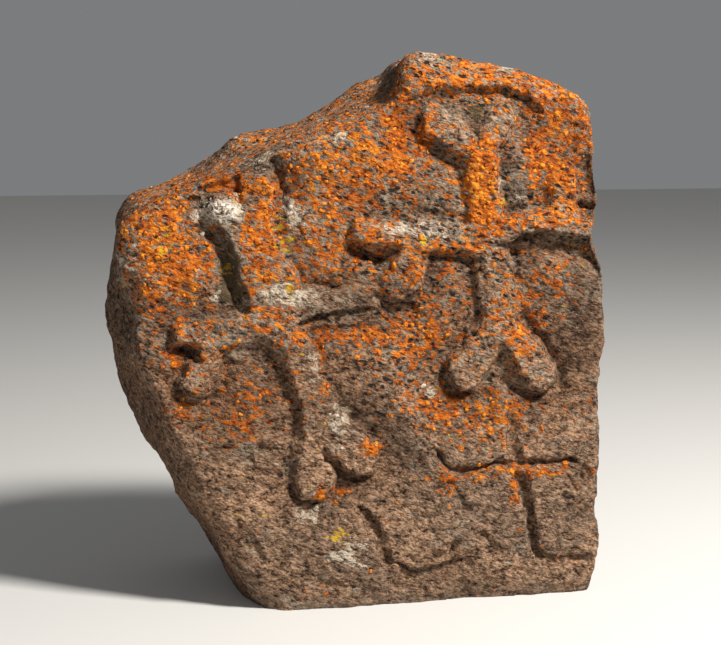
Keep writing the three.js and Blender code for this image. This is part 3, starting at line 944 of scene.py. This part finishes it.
class NodeBoard(Board):
    """A material's nodes."""

    def __init__(self, name: str) -> None:
        """Starts an empty material with a surface shader."""
        self.material = bpy.data.materials.new(name)
        self.material.use_nodes = True
        super().__init__(self.material.node_tree)
        self.tree.nodes.clear()
        self.shader = self.add("ShaderNodeBsdfPrincipled")
        output = self.add("ShaderNodeOutputMaterial")
        self.join(self.shader.outputs["BSDF"], output.inputs["Surface"])
        self.place = self.add("ShaderNodeTexCoord").outputs["Object"]
        self.streaks = self.turned(math.radians(16.0), (0.62, 1.0, 1.12))

    def turned(self, angle: float, scale: tuple[float, float, float]) -> bpy.types.NodeSocket:
        """The place on the object, turned about its depth and then squeezed, so that patterns run in streaks."""
        turn = self.add("ShaderNodeMapping")
        self.join(self.place, turn.inputs["Vector"])
        turn.inputs["Rotation"].default_value = (0.0, -angle, 0.0)
        squeeze = self.add("ShaderNodeMapping")
        self.join(turn.outputs["Vector"], squeeze.inputs["Vector"])
        squeeze.inputs["Scale"].default_value = scale
        return squeeze.outputs["Vector"]

    def attribute(self, name: str) -> bpy.types.NodeSocket:
        """The value of a mesh attribute."""
        return self.add("ShaderNodeAttribute", attribute_name=name).outputs["Fac"]

    def cloud(self, size: float, detail: float, roughness: float = 0.6, shift: float = 0.0) -> bpy.types.NodeSocket:
        """Noise between 0 and 1.

        Args:
            size: The size of its largest forms in metres.
            detail: How many finer layers it has.
            roughness: How strong the finer layers are.
            shift: Moves the pattern, so that two of one size differ.

        Returns:
            The noise.
        """
        node = self.add("ShaderNodeTexNoise")
        self.join(self.moved(shift), node.inputs["Vector"])
        node.inputs["Scale"].default_value = 1.0 / size
        node.inputs["Detail"].default_value = detail
        node.inputs["Roughness"].default_value = roughness
        return node.outputs["Fac"]

    def moved(self, shift: float) -> bpy.types.NodeSocket:
        """The streaked place on the object, moved by the same distance along each axis."""
        node = self.add("ShaderNodeMapping")
        self.join(self.streaks, node.inputs["Vector"])
        node.inputs["Location"].default_value = (shift, shift, shift)
        return node.outputs["Vector"]

    def cells(self, size: float, shift: float, warp: float) -> bpy.types.Node:
        """A scatter of ragged cells.

        Args:
            size: The size of a cell in metres.
            shift: Moves the pattern.
            warp: How far the cells' outlines are pushed about, in metres.

        Returns:
            The node, with the distance from a cell's middle and the cell's own random colour.
        """
        place = self.moved(shift)
        noise_in = {"Vector": place, "Scale": 1.0 / size, "Detail": 3.0}
        push = self.add("ShaderNodeVectorMath", operation="MULTIPLY_ADD")
        self.join(self.run("ShaderNodeTexNoise", "Color", noise_in), push.inputs[0])
        push.inputs[1].default_value = (warp, warp, warp)
        self.join(place, push.inputs[2])
        node = self.add("ShaderNodeTexVoronoi", feature="F1")
        self.join(push.outputs["Vector"], node.inputs["Vector"])
        node.inputs["Scale"].default_value = 1.0 / size
        return node

    def ramp(self, value: bpy.types.NodeSocket, stops: tuple[tuple[float, tuple[float, float, float]], ...]
             ) -> bpy.types.NodeSocket:
        """A colour that changes with a value through the given stops."""
        node = self.add("ShaderNodeValToRGB")
        self.join(value, node.inputs["Fac"])
        elements = node.color_ramp.elements
        while len(elements) < len(stops):
            elements.new(0.5)
        for element, (position, colour) in zip(elements, stops):
            element.position = position
            element.color = (*colour, 1.0)
        return node.outputs["Color"]

    def mix(self, share: object, first: object, second: object, blend: str = "MIX") -> bpy.types.NodeSocket:
        """Mixes two colours.

        Args:
            share: How much of the second shows.
            first: The colour below.
            second: The colour above.
            blend: How they mix.

        Returns:
            The mixed colour.
        """
        node = self.add("ShaderNodeMix")
        node.data_type = "RGBA"
        node.blend_type = blend
        self.feed(share, node.inputs["Factor"])
        self.feed(first if isinstance(first, bpy.types.NodeSocket) else (*first, 1.0), node.inputs["A"])
        self.feed(second if isinstance(second, bpy.types.NodeSocket) else (*second, 1.0), node.inputs["B"])
        return node.outputs["Result"]

    def bump(self, height: bpy.types.NodeSocket, depth: float) -> None:
        """Roughens the surface by a height from 0 to 1 that stands for the given depth in metres."""
        node = self.add("ShaderNodeBump")
        node.inputs["Strength"].default_value = 1.0
        node.inputs["Distance"].default_value = depth
        self.join(height, node.inputs["Height"])
        self.join(node.outputs["Normal"], self.shader.inputs["Normal"])


Colour = tuple[float, float, float]


@dataclass(frozen=True)
class LichenedStone:
    """Pitted brown volcanic stone under orange, grey, pale and yellow lichen, with shade and highlight painted into its
    grain, holes and recesses.
    """

    # The bare rock by the grain's height: painted shade in the creases and on the flanks, painted highlight on the
    # crests.
    crease_shade: Colour = (0.026, 0.016, 0.010)
    dark_shade: Colour = (0.092, 0.056, 0.035)
    middle: Colour = (0.200, 0.127, 0.080)
    light: Colour = (0.425, 0.286, 0.192)
    # Grey lichen by the grain's height: painted shade and painted highlight.
    grey_shade: Colour = (0.085, 0.066, 0.048)
    grey_highlight: Colour = (0.370, 0.300, 0.225)
    # The colour of the painted shade inside the holes.
    hole_shade: Colour = (0.008, 0.006, 0.005)
    # Orange by tone: darker in creases and lighter on crests, partly painted shade and highlight, partly the lichen's
    # own uneven colour.
    deep_orange: Colour = (0.200, 0.036, 0.004)
    orange: Colour = (0.475, 0.110, 0.008)
    light_orange: Colour = (0.760, 0.242, 0.021)
    gold: Colour = (0.98, 1.14, 1.06)
    pale: Colour = (0.520, 0.430, 0.330)
    white: Colour = (0.820, 0.725, 0.620)
    # Pale lichen in the grain's creases: painted shade.
    pale_shade: Colour = (0.240, 0.185, 0.130)
    yellow: Colour = (0.500, 0.310, 0.016)
    moss: Colour = (0.120, 0.088, 0.046)
    soil: Colour = (0.120, 0.090, 0.060)
    # The tint of the painted shade.
    shade: Colour = (0.66, 0.60, 0.55)
    relief: float = 0.0130

    def grain(self, board: NodeBoard) -> bpy.types.NodeSocket:
        """Height of the grain: slow swells, short creases where a noise crosses its middle, and finer crumbs."""
        swells = board.math("MULTIPLY", board.cloud(0.0125, 3.0, 0.55, 1.9), 0.40)
        off_crease = board.math("ABSOLUTE", board.math("SUBTRACT", board.cloud(0.0100, 2.0, 0.5, 3.4), 0.5))
        creased = board.math("MULTIPLY", board.rise_between(off_crease, -0.02, 0.07), 0.09)
        crumbs = board.math("MULTIPLY", board.cloud(0.0054, 4.0, 0.6, 7.7), 0.51)
        return board.math("ADD", board.math("ADD", swells, creased), crumbs)

    def bare_colour(self, board: NodeBoard, grain: bpy.types.NodeSocket) -> bpy.types.NodeSocket:
        """The bare rock, with shade and highlight painted by the grain's height: near black in the creases, brown on
        the flanks and light on the crests.
        """
        speck = board.cloud(0.0040, 3.0, 0.6, 0.4)
        both = board.math("ADD", board.math("MULTIPLY", grain, 0.72), board.math("MULTIPLY", speck, 0.28))
        rock = board.ramp(both, ((0.405, self.crease_shade), (0.458, self.dark_shade), (0.520, self.middle), (0.61, self.light)))
        tone = board.rise_between(board.cloud(0.12, 4.0, 0.6, 2.2), 0.32, 0.68)
        return board.mix(1.0, rock, board.mix(tone, (0.70, 0.68, 0.68), (1.22, 1.11, 1.02)), "MULTIPLY")

    def crust(self, board: NodeBoard, cover: Cover, size: float, detail: float, shift: float, edge: float,
              barest: float = 0.72, reach: float = 0.34) -> bpy.types.NodeSocket:
        """Where a growth shows on the stone. The size of its islands is in metres, and detail breaks them up."""
        pattern = board.cloud(size, detail, 0.55, shift)
        return board.islands(pattern, board.attribute(cover.value), barest, reach, edge)

    def open_holes(self, board: NodeBoard) -> bpy.types.NodeSocket:
        """Ragged holes, painted near black as the shade inside them, in more of the cells where the rock is full of
        them.
        """
        cells = board.cells(0.0110, 0.7, 0.016)
        shut_share = board.math("SUBTRACT", 0.96, board.math("MULTIPLY", board.attribute(Cover.HOLES.value), 0.70))
        is_open = board.rise_between(cells.outputs["Color"], shut_share, board.math("ADD", shut_share, 0.06))
        middle = board.math("SUBTRACT", 1.0, board.rise_between(cells.outputs["Distance"], 0.22, 0.42))
        return board.math("MULTIPLY", middle, is_open)

    def make(self) -> bpy.types.Material:
        """The finished material."""
        board = NodeBoard("lichened_stone")
        grain = self.grain(board)
        colour = self.bare_colour(board, grain)

        grey_shows = self.crust(board, Cover.GREY, 0.022, 6.0, 2.8, 0.05, 0.70, 0.30)
        # Painted shade and highlight: the grey lichen is darker in the grain's creases and lighter on its crests.
        grey = board.ramp(grain, ((0.44, self.grey_shade), (0.62, self.grey_highlight)))
        colour = board.mix(board.math("MULTIPLY", grey_shows, 0.6), colour, grey)

        whitest = board.rise_between(board.attribute(Cover.PALE.value), 0.84, 1.00)
        pale = board.mix(whitest, self.pale, self.white)
        # Painted shade: the pale lichen is darker in the grain's creases.
        shaded_pale = board.mix(board.rise_between(grain, 0.43, 0.56), self.pale_shade, pale)
        pale_shows = self.crust(board, Cover.PALE, 0.016, 5.0, 5.0, 0.030)
        colour = board.mix(pale_shows, colour, shaded_pale)

        moss_shows = self.crust(board, Cover.MOSS, 0.016, 4.0, 8.0, 0.05)
        colour = board.mix(moss_shows, colour, self.moss)

        blobs = self.crust(board, Cover.ORANGE, 0.0112, 2.4, 0.9, 0.016, 0.72)
        specks = self.crust(board, Cover.ORANGE, 0.0070, 1.4, 4.7, 0.018, 0.740, 0.27)
        orange_shows = board.math("MAXIMUM", blobs, specks)
        # Partly painted shade and highlight: the grain's height darkens the orange in creases and lightens it on
        # crests; the noise gives its own uneven tone.
        tone = board.math("ADD", board.math("MULTIPLY", board.cloud(0.009, 3.0, 0.6, 6.1), 0.45),
                          board.math("MULTIPLY", grain, 0.55))
        stops = ((0.42, self.deep_orange), (0.52, self.orange), (0.62, self.light_orange))
        golden = board.rise_between(board.cloud(0.070, 3.0, 0.6, 5.3), 0.46, 0.66)
        tinted = board.mix(golden, board.ramp(tone, stops), self.gold, "MULTIPLY")
        colour = board.mix(orange_shows, colour, tinted)

        yellow_shows = self.crust(board, Cover.YELLOW, 0.009, 3.0, 4.4, 0.02)
        colour = board.mix(yellow_shows, colour, self.yellow)
        colour = board.mix(board.math("MULTIPLY", board.attribute(Cover.SOIL.value), 0.6), colour, self.soil)
        # Painted shade: the stone is tinted darker where the painted shade cover is.
        colour = board.mix(board.attribute(Cover.PAINTED_SHADE.value), colour, self.shade, "MULTIPLY")

        holes = self.open_holes(board)
        # Painted shade inside the holes.
        colour = board.mix(board.math("MULTIPLY", holes, 0.92), colour, self.hole_shade)
        # Painted shade: the grain's creases are darkened further.
        creases = board.rise_between(grain, 0.39, 0.47)
        colour = board.mix(board.math("SUBTRACT", 1.0, creases), colour, (0.42, 0.36, 0.32), "MULTIPLY")
        board.join(colour, board.shader.inputs["Base Color"])
        board.shader.inputs["Roughness"].default_value = 0.93
        board.shader.inputs["Specular IOR Level"].default_value = 0.25

        height = board.math("ADD", grain, board.math("MULTIPLY", orange_shows, 0.07))
        height = board.math("ADD", height, board.math("MULTIPLY", pale_shows, 0.05))
        height = board.math("SUBTRACT", height, board.math("MULTIPLY", holes, 0.35))
        board.bump(height, self.relief)
        return board.material


@dataclass(frozen=True)
class CrustFinish:
    """A lichen crust with painted shade and highlight: deep at its rim and in its cracks, bright on its crest."""

    name: str
    deep: Colour
    body: Colour
    bright: Colour
    crack_size: float = 0.0045
    relief: float = 0.0030

    def make(self) -> bpy.types.Material:
        """The finished material."""
        board = NodeBoard(self.name)
        # Painted shade and highlight: dark in the lows of the cracks, which also bump the surface, and at the rim;
        # bright on the crest. The tone also varies from crust to crust.
        cracks = board.cloud(self.crack_size, 3.0, 0.6)
        rim = board.math("MULTIPLY", board.attribute("crest"), 0.10)
        own = board.math("MULTIPLY", board.attribute("tone"), 0.16)
        tone = board.math("ADD", board.math("ADD", board.math("MULTIPLY", cracks, 0.8), rim), own)
        colour = board.ramp(tone, ((0.43, self.deep), (0.55, self.body), (0.68, self.bright)))
        board.join(colour, board.shader.inputs["Base Color"])
        board.shader.inputs["Roughness"].default_value = 0.9
        board.shader.inputs["Specular IOR Level"].default_value = 0.2
        board.bump(cracks, self.relief)
        return board.material


@dataclass(frozen=True)
class LichenCrusts:
    """Small raised crusts of one lichen, scattered over the stone where that lichen grows."""

    name: str
    cover: Cover
    finish: CrustFinish
    spacing: float
    least_radius: float
    greatest_radius: float
    thickness: float
    lobing: float = 0.0050
    lobe_size: float = 0.0070
    clump_size: float = 0.020
    barest: float = 0.72
    reach: float = 0.38
    most: float = 9000.0
    sides: int = 10
    rings: int = 3
    seed: int = 3

    def ball(self, board: Board) -> bpy.types.NodeSocket:
        """The one crust that is repeated, a ball of radius 1 that knows how high each of its points is."""
        sizes = {"Segments": self.sides, "Rings": self.rings, "Radius": 1.0}
        ball = board.run("GeometryNodeMeshUVSphere", "Mesh", sizes)
        place = board.run("GeometryNodeInputPosition", "Position", {})
        height = board.run("ShaderNodeSeparateXYZ", "Z", {"Vector": place})
        stored = {"Geometry": ball, "Name": "crest", "Value": height}
        return board.run("GeometryNodeStoreNamedAttribute", "Geometry", stored, data_type="FLOAT", domain="POINT")

    def scatter(self, sizes: dict[str, float]) -> tuple[bpy.types.NodeTree, dict[str, str]]:
        """The tree that scatters the crusts.

        Args:
            sizes: The tree's named inputs, and what each is set to.

        Returns:
            The tree, and the identifier of each named input.
        """
        board = Board(bpy.data.node_groups.new(self.name, "GeometryNodeTree"))
        sockets = board.tree.interface
        sockets.new_socket("Stone", in_out="INPUT", socket_type="NodeSocketGeometry")
        sockets.new_socket("Crusts", in_out="OUTPUT", socket_type="NodeSocketGeometry")
        known = {size: sockets.new_socket(size, in_out="INPUT", socket_type="NodeSocketFloat") for size in sizes}
        given = board.add("NodeGroupInput").outputs

        place = board.run("GeometryNodeInputPosition", "Position", {})
        clumps = board.run("ShaderNodeTexNoise", "Fac", {"Vector": place, "Scale": 1.0 / self.clump_size, "Detail": 2.0})
        cover = board.run("GeometryNodeInputNamedAttribute", "Attribute", {"Name": self.cover.value})
        share = board.islands(clumps, cover, self.barest, self.reach, 0.06)
        found = board.add("GeometryNodeDistributePointsOnFaces", distribute_method="POISSON")
        board.join(given["Stone"], found.inputs["Mesh"])
        board.join(given["Spacing"], found.inputs["Distance Min"])
        board.join(share, found.inputs["Density Factor"])
        found.inputs["Density Max"].default_value = self.most
        found.inputs["Seed"].default_value = self.seed

        radius = self.chance(board, given["Least radius"], given["Greatest radius"], 1)
        narrow = board.math("MULTIPLY", radius, self.chance(board, 0.6, 1.0, 2))
        size = board.run("ShaderNodeCombineXYZ", "Vector", {"X": radius, "Y": narrow, "Z": given["Thickness"]})
        crusts = board.run("GeometryNodeInstanceOnPoints", "Instances", {
            "Points": found.outputs["Points"], "Instance": self.ball(board),
            "Rotation": found.outputs["Rotation"], "Scale": size})
        turn = board.run("ShaderNodeCombineXYZ", "Vector", {"Z": self.chance(board, 0.0, math.tau, 3)})
        crusts = board.run("GeometryNodeRotateInstances", "Instances", {"Instances": crusts, "Rotation": turn})
        stored = {"Geometry": crusts, "Name": "tone", "Value": self.chance(board, 0.0, 1.0, 4)}
        crusts = board.run("GeometryNodeStoreNamedAttribute", "Geometry", stored, data_type="FLOAT", domain="INSTANCE")
        crusts = board.run("GeometryNodeRealizeInstances", "Geometry", {"Geometry": crusts})
        crusts = self.lobed(board, crusts, given["Lobing"])
        dressed = {"Geometry": crusts, "Material": self.finish.make()}
        board.join(board.run("GeometryNodeSetMaterial", "Geometry", dressed), board.add("NodeGroupOutput").inputs[0])
        return board.tree, {size: socket.identifier for size, socket in known.items()}

    def chance(self, board: Board, least: object, greatest: object, seed: int) -> bpy.types.NodeSocket:
        """A random value between two others, the same on every run."""
        ends = {"Min": least, "Max": greatest, "Seed": 10 * self.seed + seed}
        return board.run("FunctionNodeRandomValue", "Value", ends, data_type="FLOAT")

    def lobed(self, board: Board, crusts: bpy.types.NodeSocket, lobing: bpy.types.NodeSocket
              ) -> bpy.types.NodeSocket:
        """Pushes the crusts' points about, so that no two have the same outline."""
        noise_in = {"Scale": 1.0 / self.lobe_size, "Detail": 1.0}
        push = board.run("ShaderNodeTexNoise", "Color", noise_in)
        centred = board.add("ShaderNodeVectorMath", operation="SUBTRACT")
        board.join(push, centred.inputs[0])
        centred.inputs[1].default_value = (0.5, 0.5, 0.5)
        offset = board.run("ShaderNodeVectorMath", "Vector", {"Vector": centred.outputs["Vector"], "Scale": lobing},
                           operation="SCALE")
        moved = board.run("GeometryNodeSetPosition", "Geometry", {"Geometry": crusts, "Offset": offset})
        return board.run("GeometryNodeSetShadeSmooth", "Geometry", {"Geometry": moved})

    def build(self, stone: bpy.types.Object) -> bpy.types.Object:
        """Scatters the crusts over the stone.

        Args:
            stone: The finished stone, with its covers.

        Returns:
            All the crusts as one plain mesh.
        """
        sizes = {"Spacing": self.spacing, "Least radius": self.least_radius,
                 "Greatest radius": self.greatest_radius, "Thickness": self.thickness, "Lobing": 2.0 * self.lobing}
        tree, identifiers = self.scatter(sizes)
        carrier = bpy.data.objects.new(f"{self.name}_carrier", stone.data)
        bpy.context.scene.collection.objects.link(carrier)
        modifier = carrier.modifiers.new("scatter", "NODES")
        modifier.node_group = tree
        for size, identifier in identifiers.items():
            modifier[identifier] = sizes[size]
        graph = bpy.context.evaluated_depsgraph_get()
        mesh = bpy.data.meshes.new_from_object(carrier.evaluated_get(graph), depsgraph=graph)
        carrier.modifiers.remove(modifier)
        bpy.data.objects.remove(carrier)
        mesh.name = self.name
        crusts = bpy.data.objects.new(self.name, mesh)
        bpy.context.scene.collection.objects.link(crusts)
        each = self.sides * 2 * (self.rings - 1)
        triangles = sum(len(face.vertices) - 2 for face in mesh.polygons)
        LOG.info("%s: %d crusts, %d triangles", self.name, triangles // each, triangles)
        return crusts


ORANGE_CRUSTS = LichenCrusts(
    "orange_lichen_crusts", Cover.ORANGE,
    CrustFinish("orange_crust", (0.190, 0.036, 0.004), (0.480, 0.118, 0.008), (0.780, 0.275, 0.024)),
    spacing=0.0086, least_radius=0.0030, greatest_radius=0.0080, thickness=0.0009, lobing=0.0038, barest=0.77)
PALE_CRUSTS = LichenCrusts(
    "pale_lichen_crusts", Cover.PALE,
    CrustFinish("pale_crust", (0.180, 0.140, 0.100), (0.380, 0.312, 0.236), (0.560, 0.480, 0.380)),
    spacing=0.0090, least_radius=0.0035, greatest_radius=0.0085, thickness=0.0008,
    lobing=0.0040, barest=0.82, reach=0.42, seed=5)


@dataclass
class CarvedStone:
    """The khachkar itself: one stone."""

    form: StoneForm = field(default_factory=StoneForm)
    carving: Carving = field(default_factory=Carving)
    weathering: Weathering = field(default_factory=Weathering)
    growth: Growth = field(default_factory=Growth)
    finish: LichenedStone = field(default_factory=LichenedStone)
    place: np.ndarray = field(default_factory=lambda: np.zeros(3))

    def build(self) -> bpy.types.Object:
        """Makes the stone's mesh with its covers, and cuts it off flat at the ground.

        Returns:
            The stone, dressed, in the place of the solid that it stands for.
        """
        smooth, triangles = Shell(self.form, self.carving).build()
        normals = point_normals(smooth, triangles)
        rough = smooth + normals * self.weathering.rise(smooth, normals)[:, None]
        behind = -self.form.face.distance(smooth)
        # Painted shade in the recesses: the carving's depth, as a share of the sunk ground's depth, fading out behind
        # the face.
        painted_shade = self.carving.depth(smooth[:, 0], smooth[:, 2]) / self.carving.sink_depth
        painted_shade = painted_shade * eased(1.0 - (behind - 0.045) / 0.02)
        covers = self.growth.covers(smooth, normals, behind, np.clip(painted_shade, 0.0, 1.0), self.weathering)

        mesh = bpy.data.meshes.new("khachkar_stone")
        mesh.from_pydata(rough.tolist(), [], triangles.tolist())
        for cover, value in covers.items():
            layer = mesh.attributes.new(cover.value, "FLOAT", "POINT")
            layer.data.foreach_set("value", value.astype(np.float32))
        self.cut_at_ground(mesh)
        self.settle(mesh, smooth[smooth[:, 2] >= 0.0])
        mesh.polygons.foreach_set("use_smooth", [True] * len(mesh.polygons))
        stone = bpy.data.objects.new("khachkar_stone", mesh)
        bpy.context.scene.collection.objects.link(stone)
        stone.data.materials.append(self.finish.make())
        LOG.info("stone: %d points, %d triangles", len(mesh.vertices), len(mesh.polygons))
        return stone

    def cut_at_ground(self, mesh: bpy.types.Mesh) -> None:
        """Takes away what lies under the ground and closes the cut with a flat underside."""
        work = bmesh.new()
        work.from_mesh(mesh)
        everything = work.verts[:] + work.edges[:] + work.faces[:]
        cut = bmesh.ops.bisect_plane(work, geom=everything, dist=2e-4, plane_co=(0, 0, 0),
                                     plane_no=(0, 0, 1), clear_inner=True)
        rim = [item for item in cut["geom_cut"] if isinstance(item, bmesh.types.BMEdge)]
        for corner in {vertex for edge in rim for vertex in edge.verts}:
            corner.co.z = 0.0
        made = bmesh.ops.contextual_create(work, geom=rim)
        bmesh.ops.triangulate(work, faces=made["faces"])
        bmesh.ops.triangulate(work, faces=[face for face in work.faces if len(face.verts) > 3])
        bmesh.ops.recalc_face_normals(work, faces=work.faces)
        work.to_mesh(mesh)
        work.free()

    def settle(self, mesh: bpy.types.Mesh, smooth: np.ndarray) -> None:
        """Moves the mesh level with the solid, whose box is centred on the origin.

        Args:
            mesh: The stone's mesh.
            smooth: The points above ground of the surface before weathering, which is the solid's own.
        """
        places = np.zeros(len(mesh.vertices) * 3)
        mesh.vertices.foreach_get("co", places)
        low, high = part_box(CAD_NODE)
        self.place = (np.array(low) + np.array(high) - smooth.min(axis=0) - smooth.max(axis=0)) / 2.0
        self.place[2] = 0.0
        mesh.vertices.foreach_set("co", (places.reshape(-1, 3) + self.place).reshape(-1))
        LOG.info("moved by %s mm", np.round(self.place * 1000, 2))


@dataclass
class Studio:
    """A pale floor, soft light from the upper right and front, and the camera."""

    azimuth: float = -10.0
    elevation: float = 8.0
    distance: float = 3.0
    width_at_target: float = 1.305
    target: tuple[float, float, float] = (-0.005, -0.151, 0.520)
    sensor: float = 36.0

    def camera(self, place: np.ndarray) -> None:
        """Sets the camera at the photograph's viewing angle.

        Args:
            place: How far the stone was moved from where its shares are measured.
        """
        turn, tilt = math.radians(self.azimuth), math.radians(self.elevation)
        back = Vector((math.sin(turn) * math.cos(tilt), -math.cos(turn) * math.cos(tilt), math.sin(tilt)))
        data = bpy.data.cameras.new("camera")
        data.sensor_width = self.sensor
        data.lens = self.sensor * self.distance / self.width_at_target
        camera = bpy.data.objects.new("camera", data)
        camera.location = Vector(self.target) + Vector(place) + back * self.distance
        camera.rotation_mode = "QUATERNION"
        camera.rotation_quaternion = (-back).to_track_quat("-Z", "Y")
        bpy.context.scene.collection.objects.link(camera)
        bpy.context.scene.camera = camera

    def light(self, name: str, place: Vector, aim: Vector, size: float, power: float, colour: Colour) -> None:
        """A square soft light.

        Args:
            name: Its name.
            place: Where it hangs.
            aim: What it points at.
            size: Its width.
            power: Its power in watts.
            colour: Its colour.
        """
        data = bpy.data.lights.new(name, "AREA")
        data.size = size
        data.energy = power
        data.color = colour
        lamp = bpy.data.objects.new(name, data)
        lamp.location = place
        lamp.rotation_mode = "QUATERNION"
        lamp.rotation_quaternion = (aim - place).to_track_quat("-Z", "Y")
        bpy.context.scene.collection.objects.link(lamp)

    def lights(self) -> None:
        """A key from the upper right, a weak fill from the left, and an even pale sky."""
        aim = Vector((0.0, 0.0, 0.5))
        self.light("key_light", Vector((2.45, -2.35, 4.05)), aim, 0.8, 468.0, (1.0, 0.97, 0.92))
        self.light("fill_light", Vector((-1.6, -3.2, 1.2)), aim, 2.2, 5.0, (0.92, 0.96, 1.0))
        world = bpy.data.worlds.new("studio")
        world.use_nodes = True
        world.node_tree.nodes["Background"].inputs["Color"].default_value = (0.80, 0.81, 0.83, 1.0)
        world.node_tree.nodes["Background"].inputs["Strength"].default_value = 0.25
        bpy.context.scene.world = world

    def floor(self) -> None:
        """A plain pale floor."""
        mesh = bpy.data.meshes.new("floor")
        reach = 12.0
        corners = [(-reach, -reach, 0), (reach, -reach, 0), (reach, reach, 0), (-reach, reach, 0)]
        mesh.from_pydata(corners, [], [(0, 1, 2, 3)])
        floor = bpy.data.objects.new("floor", mesh)
        bpy.context.scene.collection.objects.link(floor)
        board = NodeBoard("pale_floor")
        board.shader.inputs["Base Color"].default_value = (0.62, 0.61, 0.59, 1.0)
        board.shader.inputs["Roughness"].default_value = 0.9
        floor.data.materials.append(board.material)


def main() -> None:
    """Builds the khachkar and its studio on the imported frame."""
    logging.basicConfig(level=logging.INFO, format="%(name)s %(message)s")
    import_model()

    khachkar = CarvedStone()
    stone = khachkar.build()
    pieces = [stone, ORANGE_CRUSTS.build(stone), PALE_CRUSTS.build(stone)]
    for piece in pieces:
        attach(piece, BODY)
        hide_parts(CAD_NODE)

    studio = Studio()
    studio.camera(khachkar.place)
    studio.lights()
    studio.floor()
    bpy.context.scene.view_settings.view_transform = "Standard"


if __name__ == "__main__":
    main()
